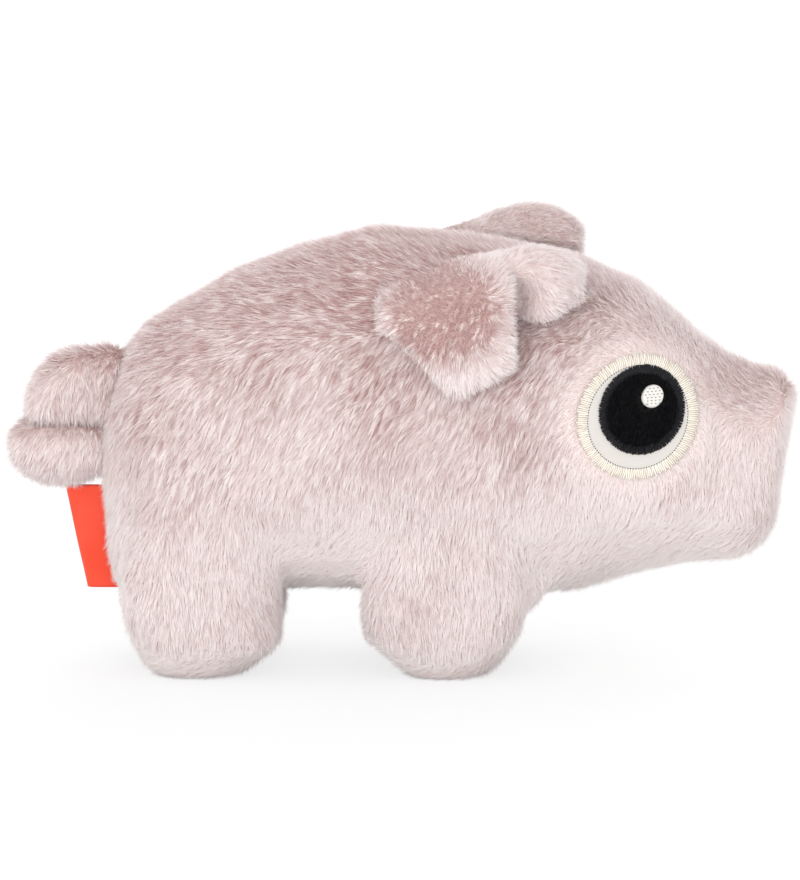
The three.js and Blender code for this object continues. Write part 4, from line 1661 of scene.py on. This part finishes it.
@dataclass
class Eye:
    """A felt disc edged with satin stitch, with a black pupil and an embroidered highlight.

    The heights are over the skin's backing, and the pupil's and the highlight's shifts are from the
    middle of the felt, forward and up. The dome is the surface that the eye lies on.
    """

    side: Side
    sewing: Embroidery
    furrier: Furrier
    white: Material
    black: Material
    black_finish: Material
    radius: float = 15.0
    rim_width: float = 2.2
    bare: float = 14.0
    parting: float = 7.0
    turned: float = 1.4
    shorter: float = 0.5
    paler: float = 0.15
    felt_inset: float = 1.0
    felt_height: float = 1.5
    disc_edge: float = 0.7
    hole: float = 0.18
    hole_count: int = 118
    hole_inset: float = 0.2
    pupil_radius: float = 10.7
    pupil_border: float = 2.2
    border_overlap: float = 0.4
    border_lift: float = 0.35
    underlay_drop: float = 0.15
    pupil_shift: Span = (0.9, 1.8)
    pupil_height: float = 2.0
    shine_radius: float = 2.8
    shine_shift: Span = (3.4, 5.0)
    shine_height: float = 0.9
    shine_edge: float = 0.9
    shine_gap: float = 0.3
    under: float = 1.3
    nudge: Span = (-1.2, 0.3)
    pupil_pile: Pile = Pile(11, length=1.5, width=0.3, ridge=0.2, lean=50, wave=0.6, seed=90)
    pupil_nap: Place = (-0.4, 0.0, -0.9)
    dome: Array | None = None

    def middle(self) -> Vector:
        """The middle of the eye's rim in the frame."""
        low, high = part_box(f"eye_{self.side.label}_rim")
        return (low + high) / 2 + Vector((mm(self.nudge[0]), 0, mm(self.nudge[1])))

    def away(self, skin: Skin) -> tuple[Array, Array]:
        """How each point of a skin lies from the eye's middle, seen from the side.

        Args:
            skin: The skin.

        Returns:
            Its points' distance from the middle, and the way from there to them.
        """
        middle = self.middle()
        across = skin.points[:, [0, 2]] - np.array((middle.x, middle.z))
        distance = np.linalg.norm(across, axis=1)
        distance[np.sign(skin.points[:, 1]) != self.side.value] = 1.0
        return distance, unit(np.stack([across[:, 0], 0 * distance, across[:, 1]], -1))

    def rest_on(self, skin: Skin) -> None:
        """Finds the domed surface that the eye lies on, from the skin round it.

        Args:
            skin: The body's skin.
        """
        distance, _ = self.away(skin)
        near = skin.points[distance < mm(self.radius + 1)]
        middle = self.middle()
        x, z = near[:, 0] - middle.x, near[:, 2] - middle.z
        terms = np.stack([np.ones(len(x)), x, z, x * x, x * z, z * z], -1)
        self.dome, *_ = np.linalg.lstsq(terms, near[:, 1], rcond=None)

    def part_pile(self, skin: Skin) -> None:
        """Clears the pile under the eye and turns it outward round the rim.

        Args:
            skin: The body's skin.
        """
        distance, way = self.away(skin)
        skin.cover[distance < mm(self.bare)] = 0
        near = 1 - rising(distance, (self.radius, self.radius + self.parting))
        skin.nap += self.turned * near[:, None] * way
        skin.reach *= 1 - self.shorter * near
        skin.tone -= self.paler * near

    def draped(self, flat: Array) -> Array:
        """Lays flat points on the domed surface.

        Args:
            flat: How far forward, up and outward of the eye's middle each point is.

        Returns:
            The points' places.
        """
        x, z, lift = flat.T
        middle = self.middle()
        terms = np.stack([np.ones(len(x)), x, z, x * x, x * z, z * z], -1)
        slope_x = self.dome[1] + 2 * self.dome[3] * x + self.dome[4] * z
        slope_z = self.dome[2] + self.dome[4] * x + 2 * self.dome[5] * z
        out = self.side.value * unit(np.stack([-slope_x, np.ones(len(x)), -slope_z], -1))
        on = np.stack([middle.x + x, terms @ self.dome, middle.z + z], -1)
        return on + lift[:, None] * out

    def lay(self, piece: Piece, shift: Span, height: float) -> None:
        """Moves a flat piece to its place on the eye and bends it to the head.

        Args:
            piece: The piece.
            shift: How far forward and up of the eye's middle it goes, in millimetres.
            height: How high over the skin.
        """
        flat = points_of(piece.data) + np.array([mm(v) for v in (*shift, height)])
        move_points(piece.data, self.draped(flat))
        if self.side is Side.LEFT:
            piece.data.flip_normals()

    def settle(self, piece: Piece, node: str, slot: str) -> None:
        """Puts a finished piece on the stuffed body.

        Args:
            piece: The piece.
            node: The last part of the name of the frame's node that it stands for, if any.
            slot: The name of a material slot; not used.
        """
        if node:
            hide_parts(f"eye_{self.side.label}_{node}")
        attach(piece, "stuffed_body")
        LOG.info("%s: %d faces", piece.name, len(piece.data.polygons))

    def disc(self, part: str, radius: float, height: float, shift: Span, finish: Any) -> Piece:
        """Makes a felt disc, sunk far enough to meet what is under it.

        Args:
            part: What the disc is called, after the eye.
            radius: The disc's radius, in millimetres.
            height: How high its face lies over the skin.
            shift: How far forward and up of the eye's middle it lies.
            finish: Its material.

        Returns:
            The disc, laid on the eye.
        """
        sizes = [mm(size) for size in (radius, height - self.under, height, self.disc_edge)]
        points, faces = felt_disc(*sizes)
        mesh = mesh_of(f"eye_{self.side.label}_{part}", points, faces)
        piece = placed(mesh.name, mesh)
        mesh.materials.append(finish)
        self.lay(piece, shift, 0.0)
        return piece

    def ring(self, part: str, satin: Satin, height: float, look: Material) -> Piece:
        """Sews a ring of satin stitch on the eye.

        Args:
            part: What the ring is called, after the eye.
            satin: The ring's size and thread.
            height: How high over the skin it lies, in millimetres.
            look: The thread's material.

        Returns:
            The ring, laid on the eye.
        """
        piece = satin.sew(self.sewing.ring, look, f"eye_{self.side.label}_{part}")
        piece.data.shade_smooth()
        self.lay(piece, satin.shift, height)
        return piece

    def holes(self) -> Piece:
        """Marks the needle holes along the inner edge of the rim with dark beads, as painted shade.

        Returns:
            The holes in one piece.
        """
        radius = self.radius - self.rim_width - self.hole_inset
        values = {"Count": self.hole_count, "Radius": mm(radius), "Size": mm(self.hole), "Seed": 5}
        # The beads take the dark finish: painted shade of the needle holes.
        values["Finish"] = self.sewing.shadow
        piece = sprouted(self.sewing.holes, values, f"eye_{self.side.label}_needle_holes")
        self.lay(piece, (0, 0), self.felt_height)
        return piece

    def shine(self) -> Piece:
        """Sews the round pale highlight on the pupil, marked by rows of dark dashes, painted shade
        of needle holes.

        Returns:
            The highlight, without its marks.
        """
        height = self.pupil_height + self.shine_height
        pad = self.disc("shine", self.shine_radius, height, self.shine_shift, self.sewing.white)
        wide = 2 * self.shine_radius - self.shine_edge
        rows = Fill(wide, wide, length=1.0, pitch=0.72, thread=0.17, rise=0.1, share=0.35, seed=3)
        name = f"eye_{self.side.label}_shine_marks"
        # Painted shade: the marks are dark dashes for the needle holes.
        marks = rows.sew(self.sewing.fill, self.sewing.shadow, name)
        self.lay(marks, self.shine_shift, height)
        self.settle(marks, "", "cream_thread")
        return pad

    def black_pile(self, pupil: Piece) -> None:
        """Grows short black pile on the face of the pupil, clear of the highlight.

        Args:
            pupil: The pupil's disc.
        """
        skin = Skin(pupil)
        middle = self.middle()
        shift = np.array([mm(v) for v in self.shine_shift])
        place = skin.points[:, [0, 2]] - np.array((middle.x, middle.z))
        skin.nap[:] = self.pupil_nap
        faces_out = skin.normals[:, 1] * self.side.value > 0.6
        clear = np.linalg.norm(place - shift, axis=1) > mm(self.shine_radius + self.shine_gap)
        skin.cover = (faces_out & clear).astype(float)
        skin.settle()
        name = f"eye_{self.side.label}_black_pile"
        worker = Furrier(self.black_finish, self.furrier.tree)
        worker.grow(skin, self.pupil_pile, name, "stuffed_body", "black_felt")

    def build(self) -> None:
        """Makes every layer of the eye, from the felt up."""
        radius = self.radius - self.felt_inset
        felt = self.disc("white", radius, self.felt_height, (0, 0), self.white)
        self.settle(felt, "felt", "white_felt")
        top = Satin(self.radius, self.rim_width, (0, 0), thread=0.38, pitch=0.54, fray=0.2)
        rim = self.ring("satin", top, self.felt_height, self.sewing.cream)
        self.settle(rim, "rim", "cream_thread")
        # The underlay is real stitching, but its darker colour is painted shade between the satin
        # stitches.
        low = Satin(self.radius, self.rim_width, (0, 0), thread=0.42, pitch=0.34, fray=0.1)
        height = self.felt_height - self.underlay_drop
        under = self.ring("underlay", low, height, self.sewing.under)
        self.settle(under, "", "cream_thread")
        self.settle(self.holes(), "", "cream_thread")
        inner = self.pupil_radius - self.pupil_border * self.border_overlap
        pupil = self.disc("black", inner, self.pupil_height, self.pupil_shift, self.black)
        self.settle(pupil, "pupil", "black_felt")
        self.black_pile(pupil)
        sizes = (self.pupil_radius, self.pupil_border, self.pupil_shift)
        edge = Satin(*sizes, thread=0.32, pitch=0.3, fray=0.1)
        height = self.felt_height + self.border_lift
        border = self.ring("zigzag", edge, height, self.sewing.black)
        self.settle(border, "pupil_rim", "black_thread")
        shine = self.shine()
        self.settle(shine, "highlight", "cream_thread")


# Ears


# Each row is one line across a lobe of the ear, from its seam over the ridge to its hem: its place
# forward, its share of the thickness, and how far outward and how high each of its points is.
BIG_LOBE = (
    (-4.5, 0.8, (28, 97.5), (30, 97.5), (32.5, 97), (35, 96), (36.6, 94.5), (37.2, 93)),
    (2, 0.9, (23, 100), (26, 99.8), (30, 99), (35, 96.5), (38, 93), (38.6, 88.5)),
    (8, 0.9, (22, 101.5), (25, 101), (29, 100.5), (34.5, 97.5), (39, 91.5), (39.4, 82.5)),
    (13.5, 1.0, (15, 103.5), (20, 103), (26.5, 102), (34.3, 98.8), (39.7, 90.5), (40.2, 76.5)),
    (19.5, 1.0, (14.6, 104.3), (20, 104.5), (26.5, 104), (34.6, 101), (40, 92.5), (40.2, 78)),
    (25, 1.1, (14.6, 104.4), (20, 105.5), (27, 106.2), (34.6, 103.2), (39.6, 94.5), (39.8, 80.5)),
    (28.5, 1.4, (14.5, 104.4), (20, 106), (27.5, 107.8), (34, 105), (38.6, 96.5), (39.2, 84)),
)
SMALL_LOBE = (
    (24.5, 0.9, (14.6, 104.4), (20, 105.6), (26, 106.8), (28.5, 106.2), (30, 105), (31, 103.5)),
    (29.5, 0.8, (14.5, 104.2), (19.5, 106), (26.5, 108.4), (30, 107), (29, 102), (31.5, 95)),
    (33, 0.9, (14.5, 103.9), (19.5, 106.2), (27, 109), (31, 106.8), (31.3, 101), (33, 94)),
    (38, 1.0, (14.5, 103.3), (19.5, 105.8), (26.8, 108.4), (31.5, 106.2), (33.3, 101), (32.3, 95)),
    (42, 1.0, (14.5, 102.6), (19, 104.6), (25, 106.8), (29.3, 105.2), (31.2, 101.5), (30.5, 97.5)),
    (45.5, 0.9, (16, 101), (19.5, 102.5), (23.5, 103.8), (26.5, 102.8), (28, 101), (27.5, 99.5)),
)


def between(rows: Array, steps: int) -> Array:
    """More rows between rows, on a smooth curve through each column.

    Args:
        rows: The rows.
        steps: How many steps there are from one row to the next.

    Returns:
        The rows with the new ones between them.
    """
    wide = np.concatenate([rows[:1], rows, rows[-1:]])
    made = []
    for a, b, c, d in zip(wide, wide[1:], wide[2:], wide[3:]):
        for t in np.linspace(0, 1, steps, endpoint=False):
            bend = (2 * a - 5 * b + 4 * c - d) * t * t + (3 * b - a - 3 * c + d) * t**3
            made.append(b + 0.5 * ((c - a) * t + bend))
    return np.array(made + [rows[-1]])


def pillow(
    rows: Sequence[Any], side: int, thickness: float, edge: float, hem: float, steps: int
) -> tuple[Array, list[list[int]]]:
    """A thin stuffed lobe round the surface through its rows, rounded at its free edges.

    Args:
        rows: The lines across the lobe.
        side: 1 for the pig's left, -1 for its right.
        thickness: The lobe's thickness in its middle.
        edge: How far in from a free edge the rounding reaches.
        hem: The share of the thickness that is left at a free edge.
        steps: The finer steps between two rows, and between two points of a row.

    Returns:
        The points and the faces of the closed lobe.
    """
    net = np.array([[(mm(x), side * mm(y), mm(z)) for y, z in line] for x, _, *line in rows])
    net = between(net, steps)
    net = between(net.swapaxes(0, 1), steps).swapaxes(0, 1)
    full = between(np.array([[share] for _, share, *_ in rows]), steps)
    along = np.gradient(net, axis=0)
    down = np.gradient(net, axis=1)
    out = unit(np.cross(down, along)) * side
    row_steps = np.linalg.norm(np.diff(net, axis=0), axis=2)
    column_steps = np.linalg.norm(np.diff(net, axis=1), axis=2)
    zero_row, zero_column = np.zeros((1, net.shape[1])), np.zeros((net.shape[0], 1))
    from_back = np.concatenate([zero_row, np.cumsum(row_steps, 0)])
    from_hem = np.concatenate([np.cumsum(column_steps[:, ::-1], 1)[:, ::-1], zero_column], 1)
    free = np.minimum(np.minimum(from_back, from_back[-1] - from_back), from_hem)
    swell = np.sqrt(1 - (1 - np.clip(free / edge, 0, 1)) ** 2)
    lift = (hem + (1 - hem) * swell) * full * thickness / 2
    outer, inner = net + lift[..., None] * out, net - lift[..., None] * out
    points = np.concatenate([outer.reshape(-1, 3), inner.reshape(-1, 3)])
    return points, rimmed(*net.shape[:2])


@dataclass
class Ear:
    """A floppy ear of plush, folded over the head in a big lobe, a slit and a small lobe.

    The left ear's fold stands a little higher than the right one's. From the middle of the big lobe
    outwards the pile parts, lies down and grows longer over the span parted, and turns from rosy to
    pale over the span rosy; the rosy middle is partly the ear's own colour and partly painted shade
    between its upright spikes. The cup between the lobes is darker, as painted shade. The pairs
    from sure to reach are what it has in the middle, and what it gains on the way. Topmost is the
    slope over which the pile on the fold grows shorter.
    """

    side: Side
    furrier: Furrier
    backing: Material
    thickness: float = 5.6
    edge: float = 4.0
    hem: float = 0.06
    steps: int = 5
    voxel: float = 1.1
    rounds: int = 5
    perked: float = 2.2
    fold: Span = (90.0, 104.0)
    outside: float = 25.0
    cup: Span = (31.2, 98.0)
    cup_size: Span = (2.8, 5.5)
    cup_depth: float = 4.0
    big_middle: Place = (11.5, 38.0, 97.0)
    dusk: Span = (1.15, 1.0)
    parted: Span = (7.0, 15.0)
    rosy: Span = (6.5, 16.0)
    # Partly the ear's rosy colour, partly painted shade between the upright spikes of its middle.
    rosy_tone: float = 1.12
    inner_tone: float = 0.4
    hang: Place = (-0.5, 0.0, -0.87)
    sure: Span = (0.15, 0.85)
    lie: Span = (0.6, 0.4)
    cover: Span = (0.9, 0.1)
    reach: Span = (0.56, 0.44)
    topmost: Span = (0.4, 0.9)
    top_shorter: float = 0.35
    cup_shorter: float = 0.6
    # Painted shade in the cup between the lobes.
    cup_rosier: float = 0.1
    small_lobe: Span = (29.5, 33.0)
    fold_top: Place = (31.0, 27.0, 108.0)
    pile: Pile = Pile(density=7.4, length=3.8, lean=66, clump=1.5)

    def nodes(self) -> list[str]:
        """The frame's nodes that the ear stands for."""
        return [f"ear_{self.side.label}_outer", f"ear_{self.side.label}_inner"]

    def here(self, place: Place) -> Array:
        """A place on the left ear, as its twin on this side."""
        x, y, z = place
        return np.array((mm(x), self.side.value * mm(y), mm(z)))

    def hollow(self, points: Array) -> Array:
        """How deep each point lies in the cup between the lobes, from 0 outside to 1."""
        away = (points[:, [0, 2]] - np.array([mm(v) for v in self.cup])) / mm(1)
        return np.exp(-((away / np.array(self.cup_size)) ** 2).sum(1))

    def skin(self) -> Skin:
        """Makes the skin of both lobes in one, with the cup between them.

        Returns:
            The skin.
        """
        whole = bmesh.new()
        for rows in (BIG_LOBE, SMALL_LOBE):
            sizes = (mm(self.thickness), mm(self.edge), self.hem, self.steps)
            whole.from_mesh(mesh_of("lobe", *pillow(rows, self.side.value, *sizes)))
        mesh = bpy.data.meshes.new("lobes")
        whole.to_mesh(mesh)
        whole.free()
        piece = remeshed(f"ear_{self.side.label}_plush", mesh, mm(self.voxel))
        relaxed(piece.data, self.rounds)
        points = points_of(piece.data)
        if self.side is Side.LEFT:
            points[:, 2] += mm(self.perked) * rising(points[:, 2], self.fold)
        outer = np.abs(points[:, 1]) > mm(self.outside)
        points[:, 1] -= self.side.value * mm(self.cup_depth) * outer * self.hollow(points)
        move_points(piece.data, points)
        piece.data.shade_smooth()
        return Skin(piece)

    def lay_pile(self, skin: Skin) -> None:
        """Combs the pile away from the middle of the big lobe, and from the top of the fold.

        Args:
            skin: The ear's skin.
        """
        middle, top = self.here(self.big_middle), self.here(self.fold_top)
        from_middle, from_top = skin.points - middle, skin.points - top
        small = rising(skin.points[:, 0], self.small_lobe)[:, None]
        reach = np.linalg.norm(from_middle[:, [0, 2]] / np.array(self.dusk), axis=1)
        edge = rising(reach, self.parted)
        sure = gained(self.sure, edge[:, None])
        combed = sure * unit(from_middle) + 0.5 * (1 - sure) * np.array(self.hang)
        skin.nap = (1 - small) * combed + small * unit(from_top)
        outer = skin.normals[:, 1] * self.side.value > -0.1
        skin.lie = np.where(outer, gained(self.lie, edge), 1.0)
        skin.cover = np.where(outer, gained(self.cover, edge), 1.0)
        # The rosy middle is partly painted shade, for the dark between the upright spikes there.
        skin.tone = np.where(outer, self.rosy_tone - rising(reach, self.rosy), self.inner_tone)
        skin.reach = gained(self.reach, edge)
        skin.reach *= 1 - self.top_shorter * smooth(skin.normals[:, 2], *self.topmost)
        hollow = self.hollow(skin.points)
        # Painted shade: the pile in the cup between the lobes is darker.
        skin.tone += self.cup_rosier * hollow
        skin.reach *= 1 - self.cup_shorter * hollow
        skin.settle()

    def build(self) -> None:
        """Makes the ear's skin and its pile."""
        name = f"ear_{self.side.label}"
        skin = self.skin()
        self.lay_pile(skin)
        covered(skin, self.backing, self.nodes())
        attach(skin.piece, name)
        self.furrier.grow(skin, self.pile, f"{name}_pile", name)


# Tail


@dataclass
class TailTurn:
    """One stuffed turn of the curly tail, with bulges that fill it out towards the rump.

    Near the rump, over the crease, its pile is darker and rosier: painted shade in the crease.
    """

    turn: str
    furrier: Furrier
    backing: Material
    bulges: Sequence[Bulge]
    lift: float
    voxel: float = 1.2
    rounds: int = 14
    sunk: float = 1.0
    shift: float = 1.5
    nap: Place = (-0.35, 0.0, -0.94)
    tone: Span = (0.2, 0.4)
    fringe: float = 0.7
    # Painted shade in the crease at the rump.
    crease: Span = (-80.0, -72.0)
    crease_rosier: float = 0.3
    pile: Pile = Pile(density=7.0, length=3.5, lean=58)

    def nodes(self) -> list[str]:
        """The frame's nodes that the turn stands for."""
        return [f"tail_{self.turn}_cover", f"tail_{self.turn}_filling"]

    def skin(self) -> Skin:
        """Makes the turn's skin, with its bulges.

        Returns:
            The skin.
        """
        whole = merged(self.nodes(), self.bulges)
        piece = remeshed(f"tail_{self.turn}_plush", whole, mm(self.voxel))
        relaxed(piece.data, self.rounds)
        points = points_of(piece.data) - mm(self.sunk) * normals_of(piece.data)
        move_points(piece.data, points + np.array((mm(self.shift), 0, mm(self.lift))))
        piece.data.shade_smooth()
        return Skin(piece)

    def lay_pile(self, skin: Skin) -> None:
        """Combs the pile down and back, into a fringe below, rosier on top partly as painted shade,
        and at the rump.

        Args:
            skin: The turn's skin.
        """
        skin.nap[:] = self.nap
        below = smooth(-skin.normals[:, 2], 0.2, 0.7)
        skin.lie = 1 - self.fringe * below
        # Rosier on top: partly the pile's colour, partly painted shade.
        skin.tone = gained(self.tone, smooth(skin.normals[:, 2], 0.2, 0.9))
        # Darker at the rump: painted shade in the crease.
        skin.tone += self.crease_rosier * rising(skin.points[:, 0], self.crease)
        skin.settle()

    def build(self) -> list[Piece]:
        """Makes the turn's skin and its pile.

        Returns:
            Their pieces, which ride on nothing yet.
        """
        skin = self.skin()
        self.lay_pile(skin)
        covered(skin, self.backing, self.nodes())
        return [skin.piece, *self.furrier.grow(skin, self.pile, f"tail_{self.turn}_pile", None)]


@dataclass
class Tail:
    """The curly tail: two turns, the upper one growing out of the rump."""

    furrier: Furrier
    backing: Material
    root_start: Place = (-67.0, 0.0, 71.0)
    root_end: Place = (-80.0, 0.0, 71.0)
    root: Sequence[Bulge] = (
        ((-76.0, 0.0, 72.0), (11.0, 7.6, 9.2)),
        ((-75.0, 0.0, 66.0), (7.5, 7.2, 6.6)),
    )
    near_rump: Sequence[Bulge] = (((-80.0, 0.0, 53.8), (8.4, 7.4, 7.8)),)
    lifts: Span = (1.0, 2.2)

    def build(self) -> None:
        """Makes both turns; the upper one's pieces stay in place, and the lower one's ride on the
        tail's tip.
        """
        upper = TailTurn("base", self.furrier, self.backing, self.root, self.lifts[0])
        lower = TailTurn("tip", self.furrier, self.backing, self.near_rump, self.lifts[1])
        for piece in upper.build():
            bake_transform(piece)
        for piece in lower.build():
            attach(piece, "tail_tip")


# Snout and label


@dataclass
class Nostril:
    """An oval nostril in satin stitch on the front of the snout."""

    side: Side
    sewing: Embroidery
    body_skin: Skin
    oval: Fill = Fill(4.6, 8.5, length=1.5, pitch=0.34, thread=0.42, rise=0.35, share=1.0, seed=8)
    height: float = 0.4
    ahead: float = 200.0

    def build(self) -> None:
        """Sews the oval, stands it on the snout and lays it on the skin."""
        node = f"nostril_{self.side.label}"
        piece = self.oval.sew(self.sewing.fill, self.sewing.pink, f"{node}_satin")
        piece.data.shade_smooth()
        low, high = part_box(node)
        middle = (low + high) / 2
        flat = points_of(piece.data)
        tree = BVHTree.FromObject(self.body_skin.piece, bpy.context.evaluated_depsgraph_get())
        lifted = []
        for across, up, lift in flat:
            start = Vector((mm(self.ahead), middle.y + across, middle.z + up))
            hit, normal, *_ = tree.ray_cast(start, Vector((-1, 0, 0)))
            lifted.append(hit + normal * (mm(self.height) + lift))
        move_points(piece.data, np.array(lifted))
        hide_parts(node)
        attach(piece, "stuffed_body")
        LOG.info("%s: %d faces", piece.name, len(piece.data.polygons))


@dataclass
class Label:
    """A bare ribbon folded in two and caught in the rear seam, with its fold to the rear.

    The sizes run up the seam (tall) and out of it (deep). The ribbon leaves the seam at its root
    and leans forward by its tilt towards its foot. Its two halves part a little, more at the fold
    than at their ends, and ripple by the curl: so many half waves down, from a start.
    """

    finish: Material
    tall: float = 26.5
    deep: float = 13.5
    thickness: float = 0.35
    parting: float = 0.5
    top: float = 45.6
    seam: float = -71.2
    tilt: float = 12.0
    curl: float = 0.8
    ripple: Span = (2.6, 0.4)
    sharpness: float = 16.0
    ends: float = 0.45
    steps: tuple[int, int] = (40, 36)

    def middle_line(self, run: Array) -> tuple[Array, Array]:
        """The folded ribbon in plan, from one end round the fold to the other.

        Args:
            run: How far along the ribbon, from -1 through 0 at the fold to 1.

        Returns:
            How far out of the seam and how far to the side each place is, in millimetres.
        """
        bend = self.parting + self.thickness / 2
        apart = np.abs(run)
        turn = np.minimum(apart * self.sharpness, math.pi / 2)
        out = self.deep * (1 - apart) - bend * (1 - np.cos(turn))
        side = bend * np.sign(run) * np.sin(turn)
        return out, side * (self.ends + (1 - self.ends) * (1 - apart))

    def build(self) -> None:
        """Shapes the folded ribbon where the frame has it."""
        rows, columns = self.steps
        fall = np.linspace(0, 1, rows + 1)[:, None]
        run = np.linspace(-1, 1, columns * 2 + 1)[None, :]
        sheets = []
        for offset in (-self.thickness / 2, self.thickness / 2):
            out, side = self.middle_line(run)
            slope_out, slope_side = np.gradient(out, axis=1), np.gradient(side, axis=1)
            length = np.hypot(slope_out, slope_side)
            out = out + offset * slope_side / length
            side = side - offset * slope_out / length
            half_waves, start = self.ripple
            ripple = self.curl * np.sin(fall * half_waves * math.pi + start) * (out / self.deep)
            drop = mm(self.top) - mm(self.tall) * fall
            lean = math.tan(math.radians(self.tilt)) * mm(self.tall) * fall
            x = mm(self.seam) - mm(out) + lean
            sheets.append(np.stack([x + 0 * drop, mm(side + ripple), drop + 0 * x], -1))
        points = np.concatenate([sheet.reshape(-1, 3) for sheet in sheets])
        mesh = mesh_of("ribbon_label", points, rimmed(rows + 1, run.shape[1]))
        piece = placed("ribbon_label", mesh)
        mesh.materials.append(self.finish)
        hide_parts("label_ribbon")
        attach(piece, "label")
        LOG.info("%s: %d faces", piece.name, len(piece.data.polygons))


# Studio


@dataclass(frozen=True)
class Lamp:
    """A wide soft lamp. Its place and size are in millimetres, its power in watts."""

    name: str
    place: Place
    power: float
    size: float = 1400.0


@dataclass
class Studio:
    """The camera, the lamps, the pale floor and the white behind it."""

    view_height: float = 224.4
    view_middle: Place = (0.5, 0.0, 57.2)
    elevation: float = 10.0
    distance: float = 4000.0
    film: float = 36.0
    reach: float = 20000.0
    floor_size: float = 4000.0
    floor_grain: float = 40.0
    floor_white: float = 0.75
    daylight: float = 1.0
    lamps: Sequence[Lamp] = (
        Lamp("front lamp", (-400.0, -1650.0, 250.0), 18.5),
        Lamp("back lamp", (400.0, 1600.0, 900.0), 14.0),
    )

    def aim(self) -> Vector:
        """The middle of the pig, which the camera and the lamps look at."""
        return Vector([mm(v) for v in self.view_middle])

    def aimed(self, name: str, data: bpy.types.ID, place: Sequence[float]) -> Piece:
        """Sets up a camera or a lamp.

        Args:
            name: The object's name.
            data: The camera or the lamp.
            place: Its place, in metres.

        Returns:
            The object, turned to the middle of the pig.
        """
        made = placed(name, data)
        made.location = place
        made.rotation_euler = (self.aim() - made.location).to_track_quat("-Z", "Y").to_euler()
        return made

    def camera(self) -> None:
        """Sets a long lens on the pig's right side, at the photograph's angle."""
        lens = bpy.data.cameras.new("camera")
        lens.sensor_fit = "VERTICAL"
        lens.sensor_height = self.film
        lens.lens = self.film * self.distance / self.view_height
        lens.clip_end = mm(self.reach)
        tilt = math.radians(self.elevation)
        place = self.aim() + mm(self.distance) * Vector((0, -math.cos(tilt), math.sin(tilt)))
        bpy.context.scene.camera = self.aimed("camera", lens, place)

    def background(self, tree: Tree, lit: Socket, share: float) -> None:
        """Shows the camera white in place of what a surface or the world would show.

        Args:
            tree: The node tree of the floor's material or the world.
            lit: The shader that lights or catches light.
            share: How much of the white covers it.
        """
        nodes = Nodes(tree)
        path = nodes.add("ShaderNodeLightPath", {}, {})
        seen = path.outputs["Is Camera Ray"]
        for ray in ("Glossy", "Transmission"):
            seen = nodes.sum("MAXIMUM", seen, path.outputs[f"Is {ray} Ray"])
        seen = nodes.times(seen, share)
        white = nodes.out("ShaderNodeEmission", {}, {"Color": (1, 1, 1, 1), "Strength": 1.0})
        mixed = nodes.out("ShaderNodeMixShader", {}, {0: seen, 1: lit, 2: white})
        end = next(n for n in tree.nodes if n.type.startswith("OUTPUT"))
        tree.links.new(mixed, end.inputs["Surface"])

    def floor(self) -> None:
        """Lays a pale floor that keeps the pig's soft shadow."""
        half = mm(self.floor_size) / 2
        corners = [(-half, -half, 0), (half, -half, 0), (half, half, 0), (-half, half, 0)]
        mesh = bpy.data.meshes.new("floor")
        mesh.from_pydata(corners, [], [(0, 1, 2, 3)])
        piece = placed("floor", mesh)
        pattern = Pattern("pale floor", roughness=0.9, gloss=0.1)
        grain = pattern.grain(mm(self.floor_grain))
        pattern.coloured(pattern.blend(grain, tinted(246, 246, 246), tinted(250, 250, 250)))
        self.background(pattern.tree, pattern.shader.outputs[0], self.floor_white)
        mesh.materials.append(pattern.material)

    def build(self) -> None:
        """Sets up the whole studio."""
        scene = bpy.context.scene
        scene.view_settings.view_transform = "Standard"
        world = bpy.data.worlds.new("soft daylight")
        world.use_nodes = True
        scene.world = world
        sky = world.node_tree.nodes["Background"]
        sky.inputs["Color"].default_value = (1, 1, 1, 1)
        sky.inputs["Strength"].default_value = self.daylight
        self.background(world.node_tree, sky.outputs[0], 1.0)
        for lamp in self.lamps:
            light = bpy.data.lights.new(lamp.name, "AREA")
            light.size = mm(lamp.size)
            light.energy = lamp.power
            self.aimed(lamp.name, light, [mm(v) for v in lamp.place])
        self.camera()
        self.floor()


def main() -> None:
    """Builds the pig and its studio."""
    logging.basicConfig(level=logging.INFO, format="%(message)s")
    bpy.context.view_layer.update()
    Studio().build()
    furrier = Furrier(PlushFinish().material(), PileTree(Tufts()).build())
    backing = BackingFinish().material()
    white = FeltFinish("white felt", tinted(213, 209, 204), tinted(203, 198, 193)).material()
    black = FeltFinish("black felt", tinted(12, 12, 15), tinted(5, 5, 6)).material()
    trees = satin_ring_tree(), stitch_fill_tree(), bead_ring_tree()
    threads = (
        ThreadFinish("cream thread", tinted(252, 248, 240), tinted(220, 211, 197)),
        ThreadFinish("white thread", tinted(228, 226, 221), tinted(200, 196, 190)),
        ThreadFinish("black thread", tinted(30, 30, 35), tinted(8, 8, 10), gloss=0.25),
        ThreadFinish("pink thread", tinted(206, 160, 155), tinted(178, 130, 126)),
        # The underlay is darker than the cream thread: painted shade in the gaps between the satin
        # stitches.
        ThreadFinish("underlay thread", tinted(208, 197, 181), tinted(186, 174, 157)),
        # Painted shade: the dark brown of the needle holes and the highlight's marks.
        FeltFinish("needle holes", tinted(96, 83, 72), tinted(70, 60, 50)),
    )
    sewing = Embroidery(*trees, *(thread.material() for thread in threads))
    black_pile = PlushFinish(
        name="black pile",
        root=tinted(5, 5, 7),
        tip=tinted(17, 17, 20),
        rosy=tinted(9, 9, 11),
        deep=tinted(4, 4, 5),
        sheen=0.05,
        gloss=0.03,
    ).material()
    eyes = [Eye(side, sewing, furrier, white, black, black_pile) for side in Side]
    skin = StuffedBody(furrier, backing).build(eyes)
    for eye in eyes:
        eye.build()
    for side in Side:
        Nostril(side, sewing, skin).build()
    for side in Side:
        Ear(side, furrier, backing).build()
    Tail(furrier, backing).build()
    Label(RibbonFinish().material()).build()


if __name__ == "__main__":
    main()
